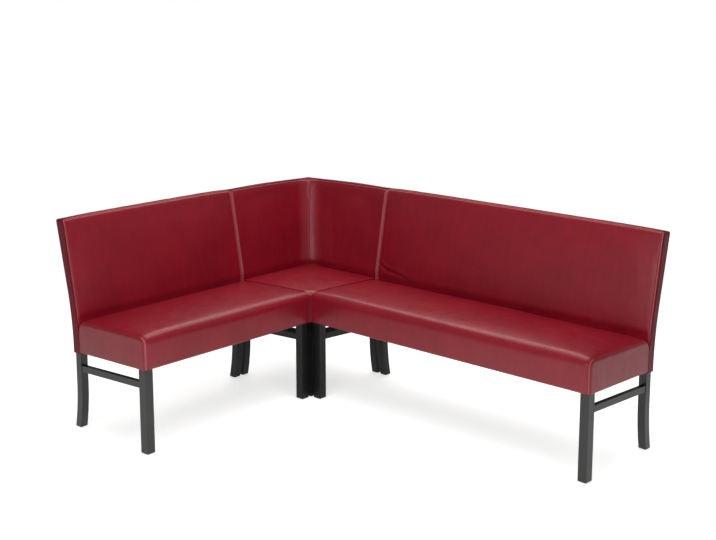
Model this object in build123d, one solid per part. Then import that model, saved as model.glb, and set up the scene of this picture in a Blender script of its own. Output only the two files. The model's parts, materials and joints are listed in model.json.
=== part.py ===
from build123d import *
import os
from math import atan2, cos, radians, sin, sqrt, tan

# Corner bench: a short bench and a long bench, each pushed up against a square corner module.
# Millimetres, +Z up. The long bench runs along +X and faces -Y, the short one runs along -Y
# and faces +X. The origin is on the floor, under the middle of the whole bench's box.

# Module sizes
left_length = 900.0
right_length = 1400.0
corner_side = 465.0
seat_depth = 465.0
module_gap = 2.0

# Seat cushion: underside heights at the rear and the front, and the boxed side's height
seat_low_rear = 327.0
seat_low_front = 345.0
seat_side_height = 134.0
seat_crown = 12.0
seat_end_crown = 2.0
seat_front_radius = 36.0
seat_edge = 9.0
seat_drawn = 3.0

# Back: its rear line rises straight, then bends into the rake
back_drop = 4.0
rear_knee_height = 460.0
rear_bend_radius = 1270.0
rear_rake = 12.0
back_rear_height = 864.0
back_top_rise = 11.0
back_top_thickness = 50.0
back_low_thickness = 41.0
front_knee_height = 445.0
front_bend_radius = 600.0
back_top_radius = 9.0
back_crown = 9.0
back_end_crown = 2.0
back_edge = 7.0
back_drawn = 3.0
corner_top_drop = 3.0
corner_mitre_drop = 9.0
corner_cove_radius = 85.0

# Leather covers with their wadding, and the panel that closes the rear
cover_wall = 3.0
rear_panel = 2.0
soft_gap = 0.3
tuck_height = 8.0
bow_share = 0.6
cove_side_share = 0.5

# Legs and posts
leg_width = 38.0
leg_front_inset = 10.0
leg_end_inset = 4.0
corner_leg_inset = 8.0
leg_chamfer = 2.0
post_width = 33.0
post_depth = 33.0
post_shoulder_height = 425.0
post_waist_depth = 19.0
post_top_depth = 26.0
post_end_inset = 8.0
post_top_gap = 14.0
post_foot_kick = 21.0
post_foot_bend_height = 100.0
post_foot_radius = 900.0
corner_post_width = 36.0
corner_post_inset = 26.0

# Side stretchers: top edge height at the rear line and at the seat's front
stretcher_rear_height = 269.0
stretcher_front_height = 293.0
stretcher_height = 26.0
stretcher_thickness = 20.0
stretcher_inset = 6.0

# Seat frame
rail_height = 68.0
rail_thickness = 25.0
side_rail_inset = 8.0
rear_rail_inset = 6.0
board_thickness = 12.0
board_end_gap = 4.0
bearer_spacing = 500.0
block_side = 46.0
block_height = 40.0
dust_cover_thickness = 1.0

# Back frame
back_rail_height = 48.0
back_rail_thickness = 18.0
back_mid_rail_low = 480.0
back_board_thickness = 4.0
back_board_low = 470.0

# Feet
glide_radius = 12.0
glide_height = 3.0

# Push-fit connector between two modules
connector_width = 30.0
connector_place = 230.0
blade_thickness = 3.0
blade_drop = 2.3
blade_reach = 35.0
jaw_wall = 2.0
jaw_length = 40.0
connector_gap = 0.3

# How far a cutting solid runs past what it cuts
overrun = 20.0

# Worked out from the sizes above
back_low_height = seat_low_rear - back_drop
back_front_height = back_rear_height + back_top_rise
post_height = back_rear_height - post_top_gap
rear_slope = tan(radians(rear_rake))
top_overhang = rear_slope * (back_rear_height - rear_knee_height)
front_top_place = back_top_thickness - top_overhang
front_rise = back_front_height - front_knee_height
front_slope = (back_low_thickness - front_top_place) / front_rise
seat_rear = back_low_thickness + soft_gap
left_start = corner_side + module_gap + left_length
right_end = corner_side + module_gap + right_length
middle_x = (right_end - top_overhang) / 2
middle_y = (top_overhang - left_start) / 2
post_rear_inset = rear_panel + soft_gap
post_front = post_rear_inset + post_depth
rail_front = seat_depth - leg_front_inset
board_low = rail_height
board_top = rail_height + board_thickness
back_top_span = back_front_height + top_overhang


def seat_low(forward):
    """Height of the seat's underside at a distance forward of the rear line."""
    return seat_low_rear + (seat_low_front - seat_low_rear) * forward / seat_depth


def rear_at(height):
    """Place of the back's rear line at a height."""
    return -rear_slope * max(height - rear_knee_height, 0)


def front_at(height):
    """Place of the back's front line at a height."""
    return back_low_thickness - front_slope * max(height - front_knee_height, 0)


def post_front_at(height):
    """Place of a back post's front face at a height above the seat."""
    low = rear_at(back_board_low) + post_rear_inset + post_waist_depth
    top = rear_at(post_height) + post_rear_inset + post_top_depth
    return low + (top - low) * (height - back_board_low) / (post_height - back_board_low)


def bow_radius(run, rise):
    """Radius of the bow whose tangents run a share of the way from its middle to its ends."""
    return bow_share * run / tan(atan2(rise, run))


def side_face(along, points, radii=None):
    """A face in the side view at a place along the bench; points are (forward, up)."""
    spots = [(along, -forward, up) for forward, up in points]
    corners = radii or [0] * len(points)
    return Face(FilletPolyline(*spots, radius=corners, close=True).wire())


def prism(start, end, points, radii=None):
    """A side-view outline drawn out along the bench."""
    return extrude(side_face(start, points, radii), amount=end - start, dir=(1, 0, 0))


def seat_band(rear, front, low, top):
    """Side-view points of a piece that follows the seat's tilt."""
    return [
        (rear, seat_low(rear) + low),
        (front, seat_low(front) + low),
        (front, seat_low(front) + top),
        (rear, seat_low(rear) + top),
    ]


def cushion(start, end, outline, edge):
    """A crowned form: full in the middle, drawn in over the last stretch at each end."""
    middle = (start + end) / 2
    body = loft([
        side_face(start + edge, *outline(0, 0)),
        side_face(middle, *outline(1, 0)),
        side_face(end - edge, *outline(0, 0)),
    ])
    first = loft([side_face(start, *outline(0, 1)), side_face(start + edge, *outline(0, 0))], ruled=True)
    last = loft([side_face(end - edge, *outline(0, 0)), side_face(end, *outline(0, 1))], ruled=True)
    return body + first + last


def seat_outline(inset, low):
    """Side-view outline of the seat for a crown share and a drawn share."""
    def outline(crown, drawn):
        sides = inset + drawn * seat_drawn
        rear = seat_rear + inset
        front = seat_depth - sides
        centre = (rear + front) / 2
        top = seat_side_height - sides
        rise = seat_end_crown + crown * (seat_crown - seat_end_crown)
        points = [
            (rear, seat_low(rear) + low),
            (front, seat_low(front) + low),
            (front, seat_low(front) + top),
            (centre, seat_low(centre) + top + rise),
            (rear, seat_low(rear) + top),
        ]
        radii = [0, 0, seat_front_radius - inset, bow_radius(centre - rear, rise), 0]
        return points, radii
    return outline


def seat_form(start, end, inset, low):
    """The seat's outer form, or the same form set inwards; low is its lower edge's height."""
    return cushion(start + inset, end - inset, seat_outline(inset, low), seat_edge)


def back_points(rear_inset, inset, low, drop, crown, drawn):
    """Side-view outline of the back."""
    sides = inset + drawn * back_drawn
    rear_top = back_rear_height - sides - drop
    front_top = back_front_height - sides - drop
    centre = (front_knee_height + front_top) / 2
    rise = back_end_crown + crown * (back_crown - back_end_crown)
    points = [
        (rear_inset, low),
        (rear_inset, rear_knee_height),
        (rear_at(rear_top) + rear_inset, rear_top),
        (front_at(front_top) - sides, front_top),
        (front_at(centre) - sides + rise, centre),
        (back_low_thickness - sides, front_knee_height),
        (back_low_thickness - sides, low),
    ]
    bow = bow_radius(centre - front_knee_height, rise)
    radii = [0, rear_bend_radius, 0, back_top_radius - inset, bow, front_bend_radius, 0]
    return points, radii


def back_form(start, end, rear_inset, inset, low):
    """The back's outer form, or the same form set inwards."""
    def outline(crown, drawn):
        return back_points(rear_inset, inset, low, 0, crown, drawn)
    return cushion(start + inset, end - inset, outline, back_edge)


def below(height, start, end, rear, front):
    """A cutting block under a line that follows the seat's tilt."""
    return prism(start, end, seat_band(rear, front, -seat_low_rear, height))


def straight_leg(start, rear, low_at):
    """A square leg with its lower edges eased; it stands on its glide and ends at the board."""
    front = rear + leg_width
    ends = []
    for along in (start, start + leg_width):
        points = [
            (rear, glide_height),
            (front, glide_height),
            (front, low_at(along, front) + rail_height),
            (rear, low_at(along, rear) + rail_height),
        ]
        ends.append(side_face(along, points))
    leg = loft(ends, ruled=True)
    foot = leg.faces().sort_by(Axis.Z)[0]
    return chamfer(foot.edges(), leg_chamfer)


def post_outline(scale, rear_inset, depth, upper):
    """Outline of a back post: kicked out at the foot, upright at the seat, raked above it.

    The scale is 1 across a side and more on the diagonal; upper holds the front line's
    points above the seat, from the top down.
    """
    foot_slope = post_foot_kick / post_foot_bend_height * scale
    foot = foot_slope * (post_foot_bend_height - glide_height)
    top = upper[0][1]
    points = [
        (rear_inset - foot, glide_height),
        (rear_inset, post_foot_bend_height),
        (rear_inset, rear_knee_height),
        (rear_at(top) * scale + rear_inset, top),
        *upper,
        (rear_inset + depth, post_foot_bend_height),
        (rear_inset + depth - foot, glide_height),
    ]
    foot_radius = post_foot_radius / scale
    radii = [0, foot_radius, rear_bend_radius / scale, 0, *[0] * len(upper), foot_radius, 0]
    return points, radii


def back_post(start):
    """A post that is the back leg below and carries the back above, thinner behind the board."""
    upper = [
        (post_front_at(post_height), post_height),
        (post_front_at(back_board_low), back_board_low),
        (post_front, post_shoulder_height),
    ]
    outline = post_outline(1, post_rear_inset, post_depth, upper)
    return prism(start, start + post_width, *outline)


def diagonal_post(inset, width, side_gap, top):
    """The post in the corner module's outer corner, square to the diagonal."""
    front = inset + width
    diagonal = sqrt(2)
    upper = [(rear_at(top) * diagonal + front, top), (front, rear_knee_height)]
    outline = post_outline(diagonal, inset, width, upper)
    half = corner_post_width / 2 + side_gap
    return Rot(0, 0, 45) * prism(-half, half, *outline)


def stretcher(start, front):
    """The rail between the back post and a front leg, just under the seat."""
    slope = (stretcher_front_height - stretcher_rear_height) / seat_depth
    rear = post_front
    points = [
        (rear, stretcher_rear_height + slope * rear - stretcher_height),
        (front, stretcher_rear_height + slope * front - stretcher_height),
        (front, stretcher_rear_height + slope * front),
        (rear, stretcher_rear_height + slope * rear),
    ]
    return prism(start, start + stretcher_thickness, points)


def glide(along, forward):
    """A round glide under a foot."""
    return Pos(along, -forward, glide_height / 2) * Cylinder(glide_radius, glide_height)


def post_foot_centre():
    """How far forward the middle of a post's foot stands."""
    return post_rear_inset + post_depth / 2 - post_foot_kick


def corner_block(along, side, forward, step, post):
    """A three-sided block glued into a corner of the seat frame and notched round the leg."""
    tips = [
        (along, -forward),
        (along + side * block_side, -forward),
        (along, -(forward + step * block_side)),
    ]
    block = extrude(Face(Polyline(*tips, close=True).wire()), amount=2 * back_low_height, dir=(0, 0, 1))
    spans = sorted((along, along + side * block_side))
    depths = sorted((forward, forward + step * block_side))
    band = seat_band(*depths, rail_height - block_height, rail_height)
    return (block & prism(*spans, band)) - post


def seat_long_rails(length):
    """The front rail between the legs and the rear rail between the posts."""
    leg_inner = leg_end_inset + leg_width
    post_inner = post_end_inset + post_width
    front_band = seat_band(rail_front - rail_thickness, rail_front, 0, rail_height)
    rear_band = seat_band(rear_rail_inset, rear_rail_inset + rail_thickness, 0, rail_height)
    front = prism(leg_inner, length - leg_inner, front_band)
    rear = prism(post_inner, length - post_inner, rear_band)
    return front, rear


def seat_cross_rails(length):
    """A rail at each end and bearers between them."""
    end_band = seat_band(post_front, rail_front - leg_width, 0, rail_height)
    inner_band = seat_band(rear_rail_inset + rail_thickness, rail_front - rail_thickness, 0, rail_height)
    rails = [
        prism(side_rail_inset, side_rail_inset + rail_thickness, end_band),
        prism(length - side_rail_inset - rail_thickness, length - side_rail_inset, end_band),
    ]
    bearers = max(int(length // bearer_spacing), 1)
    for number in range(bearers):
        start = length * (number + 1) / (bearers + 1) - rail_thickness / 2
        rails.append(prism(start, start + rail_thickness, inner_band))
    return rails


def seat_blocks(length, legs, posts):
    """The four corner blocks of a bench's seat frame; legs and posts run along the bench."""
    inner = side_rail_inset + rail_thickness
    front = rail_front - rail_thickness
    rear = rear_rail_inset + rail_thickness
    blocks = []
    for along, side, leg, post in zip((inner, length - inner), (1, -1), legs, posts):
        blocks.append(corner_block(along, side, front, -1, leg))
        blocks.append(corner_block(along, side, rear, 1, post))
    return blocks


def bench_board(length):
    """The board that closes the seat frame and carries the foam."""
    band = seat_band(post_front + soft_gap, rail_front, board_low, board_top)
    return prism(board_end_gap, length - board_end_gap, band)


def seat_upholstery(length):
    """Foam on the board and over the front rail, and the leather cover around it."""
    outer = seat_form(0, length, 0, 0)
    hollow = seat_form(0, length, cover_wall, -overrun)
    inner_end = length - cover_wall
    tuck = below(board_top, cover_wall, inner_end, seat_rear - overrun, seat_rear + overrun)
    cover = outer - hollow - tuck
    foam = seat_form(0, length, cover_wall + soft_gap, 0)
    block = below(board_top, -overrun, length + overrun, -overrun, rail_front + soft_gap)
    return foam - block, cover


def back_frame(length):
    """Two cross rails between the posts and the board that carries the foam."""
    inner = post_end_inset + post_width
    lows = (back_mid_rail_low, post_height - back_rail_height)
    rails = [prism(inner, length - inner, back_rail_points(low)) for low in lows]
    board = prism(post_end_inset, length - post_end_inset, board_band(back_board_thickness))
    return rails, board


def back_rail_points(low):
    """Side-view points of a back rail, its front flush with the posts."""
    top = low + back_rail_height
    return [
        (post_front_at(low) - back_rail_thickness, low),
        (post_front_at(low), low),
        (post_front_at(top), top),
        (post_front_at(top) - back_rail_thickness, top),
    ]


def board_band(thickness):
    """Side-view points of a sheet on the front of the posts, above the seat."""
    return [
        (post_front_at(back_board_low), back_board_low),
        (post_front_at(back_board_low) + thickness, back_board_low),
        (post_front_at(post_height) + thickness, post_height),
        (post_front_at(post_height), post_height),
    ]


def behind_board():
    """Side-view points of the room that the posts and the board take inside the back."""
    front = back_board_thickness + soft_gap
    top = post_height + soft_gap
    return [
        (-back_top_span, 0),
        (back_top_span, 0),
        (back_top_span, back_board_low),
        (post_front_at(back_board_low) + front, back_board_low),
        (post_front_at(top) + front, top),
        (-back_top_span, top),
    ]


def rear_sheet_face(along, drop):
    """Side-view face of the rear panel, its top just under the cover's top edge."""
    top = back_rear_height - cover_wall - soft_gap - drop
    points = [
        (0, back_low_height),
        (0, rear_knee_height),
        (rear_at(top), top),
        (rear_at(top) + rear_panel, top),
        (rear_panel, rear_knee_height),
        (rear_panel, back_low_height),
    ]
    return side_face(along, points, [0, rear_bend_radius, 0, 0, rear_bend_radius, 0])


def back_upholstery(length):
    """Foam in front of the board, the leather cover around it and the rear panel."""
    outer = back_form(0, length, 0, 0, back_low_height)
    hollow = back_form(0, length, -overrun, cover_wall, back_low_height - overrun)
    inner_end = length - cover_wall
    low_front = below(board_top + tuck_height, cover_wall, inner_end, cover_wall, seat_rear + overrun)
    cover = outer - hollow - low_front
    foam = back_form(0, length, post_rear_inset, cover_wall + soft_gap, back_low_height)
    foam = foam - prism(-overrun, length + overrun, behind_board())
    end = cover_wall + soft_gap
    sheet = extrude(rear_sheet_face(end, 0), amount=length - 2 * end, dir=(1, 0, 0))
    return foam, cover, sheet


def dust_cover(length):
    """The dark cloth stapled under the seat frame, cut out around the legs."""
    sheet = prism(
        board_end_gap, length - board_end_gap,
        seat_band(post_front + soft_gap, rail_front, -dust_cover_thickness, 0),
    )
    room = seat_band(rail_front - leg_width - soft_gap, rail_front + soft_gap, -overrun, overrun)
    reach = leg_end_inset + leg_width + soft_gap
    sheet = sheet - prism(-overrun, reach, room)
    return sheet - prism(length - reach, length + overrun, room)


def connector_band(low, top, extra):
    """Side-view points across the connector, following the seat's tilt."""
    half = connector_width / 2 + extra
    return seat_band(connector_place - half, connector_place + half, low, top)


def connector_blade(inner_face, side):
    """Blade half: a foot under the bench's side rail and a tongue that reaches into the jaw."""
    foot_end = inner_face + side * (side_rail_inset + rail_thickness)
    foot_start = inner_face + side * side_rail_inset
    tip = inner_face - side * (module_gap + side_rail_inset + blade_reach)
    low = -dust_cover_thickness - blade_drop - blade_thickness
    tongue = prism(min(tip, foot_end), max(tip, foot_end), connector_band(low, low + blade_thickness, 0))
    foot_span = (min(foot_start, foot_end), max(foot_start, foot_end))
    foot = prism(*foot_span, connector_band(low, -dust_cover_thickness, 0))
    return tongue + foot


def connector_jaw():
    """Jaw half, under the corner module's rail, as seen on the long bench's side."""
    end = corner_side - side_rail_inset
    low = -dust_cover_thickness - blade_drop - blade_thickness
    wall = jaw_wall + connector_gap
    body = prism(end - jaw_length, end, connector_band(low - wall, 0, wall))
    slot = connector_band(low - connector_gap, low + blade_thickness + connector_gap, connector_gap)
    return body - prism(end - jaw_length - overrun, end + overrun, slot)


def bench(side, length, inner_at_start, place):
    """All pieces of one straight bench, named after its side."""
    names = ("inner", "outer") if inner_at_start else ("outer", "inner")
    leg_starts = (leg_end_inset, length - leg_end_inset - leg_width)
    post_starts = (post_end_inset, length - post_end_inset - post_width)
    bar = leg_end_inset + stretcher_inset
    bar_starts = (bar, length - bar - stretcher_thickness)
    pieces = {}
    for name, leg_start, post_start, bar_start in zip(names, leg_starts, post_starts, bar_starts):
        pieces["front_leg_" + name] = straight_leg(leg_start, rail_front - leg_width, bench_low)
        pieces["back_post_" + name] = back_post(post_start)
        pieces["stretcher_" + name] = stretcher(bar_start, rail_front - leg_width)
    legs = [pieces["front_leg_" + name] for name in names]
    posts = [pieces["back_post_" + name] for name in names]
    pieces["seat_front_rail"], pieces["seat_rear_rail"] = seat_long_rails(length)
    pieces["seat_cross_rails"] = Compound(children=seat_cross_rails(length))
    pieces["corner_blocks"] = Compound(children=seat_blocks(length, legs, posts))
    pieces["seat_board"] = bench_board(length)
    pieces["seat_foam"], pieces["seat_cover"] = seat_upholstery(length)
    back_rails, back_board = back_frame(length)
    pieces["back_rails"] = Compound(children=back_rails)
    pieces["back_board"] = back_board
    pieces["back_foam"], pieces["back_cover"], pieces["rear_cover"] = back_upholstery(length)
    pieces["dust_cover"] = dust_cover(length)
    glides = []
    for leg_start, post_start in zip(leg_starts, post_starts):
        glides.append(glide(leg_start + leg_width / 2, rail_front - leg_width / 2))
        glides.append(glide(post_start + post_width / 2, post_foot_centre()))
    pieces["glides"] = Compound(children=glides)
    if inner_at_start:
        pieces["connector_blade"] = connector_blade(0, 1)
    else:
        pieces["connector_blade"] = connector_blade(length, -1)
    return {side + "_" + name: place * piece for name, piece in pieces.items()}


def across(shape):
    """The same piece on the corner module's other side, mirrored in the diagonal."""
    return mirror(shape, about=Plane(origin=(0, 0, 0), z_dir=(1, 1, 0)))


def right_of_diagonal():
    """Everything on the long bench's side of the corner module's diagonal."""
    reach = corner_side + 2 * back_top_span
    face = Face(Polyline((-reach, reach), (reach, -reach), (reach, reach), close=True).wire())
    return extrude(face, amount=back_front_height + overrun, dir=(0, 0, 1))


def cove(inset, low, top):
    """The rounded inner corner of the back: upright behind the seat, raked above it."""
    front = back_low_thickness - inset
    radius = corner_cove_radius + inset
    centre = front + radius
    near = centre - radius * cos(radians(45))
    rear = back_low_thickness - post_waist_depth + inset
    outline = [
        Line((near, -near), (rear, -rear)),
        Line((rear, -rear), (centre, -rear)),
        Line((centre, -rear), (centre, -front)),
        ThreePointArc((centre, -front), cove_point(centre, radius, cove_side_share), (near, -near)),
    ]
    face = Pos(0, 0, front_knee_height) * Face(Wire(outline))
    upright = extrude(face, amount=front_knee_height - low, dir=(0, 0, -1))
    slant = Vector(-front_slope, front_slope, 1)
    raked = extrude(face, amount=(top - front_knee_height) * slant.length, dir=slant)
    return upright + raked


def cove_point(centre, radius, share):
    """A point on the cove's arc, a share of the way from the wall to the diagonal."""
    turn = radians(90 - 45 * share)
    return centre - radius * cos(turn), -centre + radius * sin(turn)


def corner_back_half(rear_inset, inset, low):
    """Half of the corner's back, on the long bench's side, cut at the diagonal."""
    def wall_face(along, crown, drawn, drop):
        return side_face(along, *back_points(rear_inset, inset, low, drop, crown, drawn))

    end = corner_side - inset
    edge = end - back_edge
    far_drop = corner_mitre_drop + corner_top_drop
    wall = loft([
        wall_face(-back_top_span, 0, 0, far_drop),
        wall_face(0, 0, 0, corner_mitre_drop),
        wall_face(corner_side / 2, 1, 0, corner_top_drop),
        wall_face(edge, 0, 0, corner_top_drop),
    ])
    cap = loft([wall_face(edge, 0, 0, corner_top_drop), wall_face(end, 0, 1, corner_top_drop)], ruled=True)
    top = back_front_height - corner_mitre_drop - inset - back_drawn
    return (wall + cap + cove(inset, low, top)) & right_of_diagonal()


def corner_low(along, forward):
    """Underside height in the corner module: level along its walls, rising to its open corner."""
    lift = seat_low_front - seat_low_rear
    return seat_low_rear + lift * along * forward / corner_side ** 2


def bench_low(along, forward):
    """Underside height in a straight bench, the same all along it."""
    return seat_low(forward)


def corner_band(start, end, rear, front, low, top):
    """A piece of the corner module that follows its seat's underside."""
    ends = []
    for along in (start, end):
        points = [
            (rear, corner_low(along, rear) + low),
            (front, corner_low(along, front) + low),
            (front, corner_low(along, front) + top),
            (rear, corner_low(along, rear) + top),
        ]
        ends.append(side_face(along, points))
    return loft(ends, ruled=True)


def corner_plan(inset):
    """Plan of the corner's seat: round at the back's cove and eased at its open corner."""
    rear = seat_rear + inset
    front = corner_side - inset
    spots = [(rear, -rear), (front, -rear), (front, -front), (rear, -front)]
    cove_radius = corner_cove_radius - soft_gap - inset
    radii = [cove_radius, 0, seat_edge - inset, 0]
    face = Face(FilletPolyline(*spots, radius=radii, close=True).wire())
    return extrude(face, amount=back_front_height, dir=(0, 0, 1))


def corner_seat_form(inset, low):
    """The corner's seat: crowned, its open corner rounded over like the benches' front edges."""
    def seat_face(along, crown, drawn):
        sides = inset + drawn * seat_drawn
        rear = seat_rear + inset
        front = corner_side - sides
        centre = (rear + front) / 2
        rise = seat_end_crown + crown * (seat_crown - seat_end_crown)
        top = seat_side_height - sides
        points = [
            (rear, corner_low(along, rear) + low),
            (front, corner_low(along, front) + low),
            (front, corner_low(along, front) + top),
            (centre, corner_low(along, centre) + top + rise),
            (rear, corner_low(along, rear) + top),
        ]
        radii = [0, 0, seat_edge - inset, bow_radius(centre - rear, rise), 0]
        return side_face(along, points, radii)

    start = seat_rear + inset
    end = corner_side - inset
    edge = end - seat_edge
    body = loft([seat_face(start, 0, 0), seat_face((start + end) / 2, 1, 0), seat_face(edge, 0, 0)])
    cap = loft([seat_face(edge, 0, 0), seat_face(end, 0, 1)], ruled=True)
    return ((body + cap) & corner_plan(inset)) - corner_nose(inset)


def corner_nose(inset):
    """What is cut away to round the seat over at the open corner, across the diagonal."""
    tip = (corner_side - inset) * sqrt(2)
    top = seat_low_front + seat_side_height - inset
    radius = seat_front_radius - inset
    points = [
        (tip - radius - overrun, top + overrun),
        (tip + overrun, top + overrun),
        (tip + overrun, top - radius - overrun),
        (tip - seat_edge / 2, top - radius - overrun),
        (tip - seat_edge / 2, top),
        (tip - radius - overrun, top),
    ]
    half = 2 * seat_front_radius
    return Rot(0, 0, 45) * prism(-half, half, points, [0, 0, 0, 0, radius, 0])


def corner_post_room():
    """The room the diagonal post takes in the corner's foam and board."""
    width = corner_post_width + overrun + soft_gap
    return diagonal_post(corner_post_inset - overrun, width, soft_gap, post_height + soft_gap)


def corner_seat_upholstery():
    """Foam and leather cover of the corner module's seat."""
    end = corner_side - cover_wall
    rear = seat_rear - overrun
    tuck = corner_band(rear, end, rear, end, -2 * overrun, board_top)
    cover = corner_seat_form(0, 0) - corner_seat_form(cover_wall, -overrun) - tuck
    under = corner_band(-overrun, corner_side, -overrun, corner_side, -2 * overrun, board_top)
    foam = corner_seat_form(cover_wall + soft_gap, 0) - under
    return foam, cover


def corner_back_upholstery():
    """Foam and leather cover of the corner's back, on the long bench's side."""
    outer = corner_back_half(0, 0, back_low_height)
    hollow = corner_back_half(-overrun, cover_wall, back_low_height - overrun)
    tuck_top = seat_low_rear + board_top + tuck_height
    room = [(rear_panel, 0), (corner_side, 0), (corner_side, tuck_top), (rear_panel, tuck_top)]
    cover = outer - hollow - prism(-back_top_span, corner_side - cover_wall, room)
    foam = corner_back_half(post_rear_inset, cover_wall + 2 * soft_gap, back_low_height)
    foam = foam - prism(-back_top_span, corner_side + overrun, behind_board()) - corner_post_room()
    return foam, cover


def corner_rear_panel():
    """The panel that closes the rear of the corner's back, on the long bench's side."""
    far_drop = corner_mitre_drop + corner_top_drop
    sheet = loft([
        rear_sheet_face(-back_top_span, far_drop + soft_gap),
        rear_sheet_face(0, far_drop),
        rear_sheet_face(corner_side / 2, corner_top_drop + soft_gap),
        rear_sheet_face(corner_side - cover_wall - soft_gap, corner_top_drop + soft_gap),
    ], ruled=True)
    return sheet & right_of_diagonal()


def corner_upholstery():
    """All soft pieces of the corner module."""
    seat_foam, seat_cover = corner_seat_upholstery()
    back_foam, back_cover = corner_back_upholstery()
    return {
        "seat_foam": seat_foam,
        "seat_cover": seat_cover,
        "back_foams": both_sides([back_foam]),
        "back_cover_right": back_cover,
        "back_cover_left": across(back_cover),
        "rear_covers": both_sides([corner_rear_panel()]),
    }


def both_sides(pieces):
    """Pieces of the corner module's long-bench side together with their mirror images."""
    return Compound(children=pieces + [across(piece) for piece in pieces])


def corner_post_band():
    """The band along the diagonal that the outer post fills between the rails."""
    half = corner_post_width / 2
    reach = 2 * corner_side
    spread = [(-reach, 0), (reach, 0), (reach, back_front_height), (-reach, back_front_height)]
    return Rot(0, 0, 45) * prism(-half, half, spread)


def to_corner_post(piece):
    """A piece on the long bench's side, cut where it meets the outer post."""
    return (piece & right_of_diagonal()) - corner_post_band()


def corner_frame():
    """Legs, posts, rails, boards, glides and connector jaws of the corner module."""
    near = corner_side - corner_leg_inset - leg_width
    far = near + leg_width
    post_start = corner_side - post_end_inset - post_width
    post = back_post(post_start)
    rail_end = corner_side - side_rail_inset
    side_rail = corner_band(rail_end - rail_thickness, rail_end, post_front, near, 0, rail_height)
    rear_edge = rear_rail_inset + rail_thickness
    rear_rail = to_corner_post(corner_band(0, post_start, rear_rail_inset, rear_edge, 0, rail_height))
    back_rails = []
    for low in (back_mid_rail_low, post_height - back_rail_height):
        back_rails.append(to_corner_post(prism(-back_top_span, post_start, back_rail_points(low))))
    board_end = corner_side - post_end_inset
    back_board = to_corner_post(prism(-back_top_span, board_end, board_band(back_board_thickness)))
    board_start = post_front + soft_gap
    seat_board = corner_band(board_start, far, board_start, far, board_low, board_top)
    jaw_top = -dust_cover_thickness - soft_gap
    frame_room = corner_band(board_start, far, board_start, far, jaw_top, rail_height)
    bar = stretcher(board_end - stretcher_inset - stretcher_thickness, near)
    return {
        "front_leg": straight_leg(near, near, corner_low),
        "back_post_right": post,
        "back_post_left": across(post),
        "back_post_outer": diagonal_post(corner_post_inset, corner_post_width, 0, post_height),
        "stretchers": both_sides([bar]),
        "seat_rails": both_sides([side_rail, rear_rail]),
        "seat_board": seat_board - corner_post_room(),
        "back_rails": both_sides(back_rails),
        "back_boards": both_sides([back_board]),
        "glides": Compound(children=corner_glides(near, post_start)),
        "dust_cover": corner_dust_cover(board_start, far, near),
        "connector_jaws": both_sides([connector_jaw() - frame_room]),
    }


def corner_dust_cover(start, end, leg_start):
    """The dark cloth under the corner's seat frame, cut out around the leg and the outer post."""
    sheet = corner_band(start, end, start, end, -dust_cover_thickness, 0) - corner_post_room()
    notch = leg_start - soft_gap
    room = [(notch, 0), (corner_side, 0), (corner_side, 2 * back_low_height), (notch, 2 * back_low_height)]
    return sheet - prism(notch, corner_side, room)


def corner_glides(leg_start, post_start):
    """The glides under the corner module's leg and its three posts."""
    side_glide = glide(post_start + post_width / 2, post_foot_centre())
    leg_centre = leg_start + leg_width / 2
    return [glide(leg_centre, leg_centre), side_glide, across(side_glide), corner_post_glide()]


def corner_post_glide():
    """The glide under the diagonal post's foot."""
    diagonal = sqrt(2)
    kick = post_foot_kick * diagonal * (post_foot_bend_height - glide_height) / post_foot_bend_height
    centre = (corner_post_inset + corner_post_width / 2 - kick) / diagonal
    return glide(centre, centre)


def corner_module(place):
    """All pieces of the corner module."""
    pieces = corner_frame() | corner_upholstery()
    return {"corner_" + name: place * piece for name, piece in pieces.items()}


def main():
    """Build every piece and write it under its own name."""
    pieces = {}
    corner_place = Pos(-middle_x, -middle_y, 0)
    right_place = Pos(corner_side + module_gap - middle_x, -middle_y, 0)
    left_place = Pos(-middle_x, -left_start - middle_y, 0) * Rot(0, 0, 90)
    pieces.update(corner_module(corner_place))
    pieces.update(bench("left", left_length, False, left_place))
    pieces.update(bench("right", right_length, True, right_place))
    os.makedirs("parts", exist_ok=True)
    for name, piece in pieces.items():
        export_step(piece, "parts/" + name + ".step")


main()
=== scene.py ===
import json
import math

import bmesh
import bpy
import numpy as np
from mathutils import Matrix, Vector, kdtree, noise


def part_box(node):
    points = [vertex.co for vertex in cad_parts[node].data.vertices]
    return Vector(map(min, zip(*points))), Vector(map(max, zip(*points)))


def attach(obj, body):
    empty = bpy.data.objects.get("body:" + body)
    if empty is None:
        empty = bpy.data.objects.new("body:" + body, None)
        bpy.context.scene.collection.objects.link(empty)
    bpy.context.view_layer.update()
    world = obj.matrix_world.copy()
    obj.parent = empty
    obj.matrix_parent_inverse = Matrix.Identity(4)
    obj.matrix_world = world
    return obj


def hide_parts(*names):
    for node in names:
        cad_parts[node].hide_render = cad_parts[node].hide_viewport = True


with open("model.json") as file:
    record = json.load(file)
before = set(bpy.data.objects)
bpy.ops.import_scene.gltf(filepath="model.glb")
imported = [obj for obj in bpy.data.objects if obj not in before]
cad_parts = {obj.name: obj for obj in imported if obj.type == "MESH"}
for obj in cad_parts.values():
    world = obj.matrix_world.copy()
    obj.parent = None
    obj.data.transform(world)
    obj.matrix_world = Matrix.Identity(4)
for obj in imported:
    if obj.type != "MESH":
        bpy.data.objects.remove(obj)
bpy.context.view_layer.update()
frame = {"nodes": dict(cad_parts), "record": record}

# The soft pieces are sewn from panels: each panel is a grid of points in a module's own
# measures, which are along it, forward from its rear line, and up. Metres throughout.

# Seat, close to the solids
SEAT_DEPTH = 0.465
SEAT_LOW_REAR = 0.327
SEAT_LOW_FRONT = 0.345
SEAT_SIDE = 0.134
SEAT_FRONT_RADIUS = 0.031
SEAT_REAR_RADIUS = 0.028
SEAT_CROWN = 0.009
SEAT_END_CROWN = 0.001
BOARD_TOP = 0.080

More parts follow.
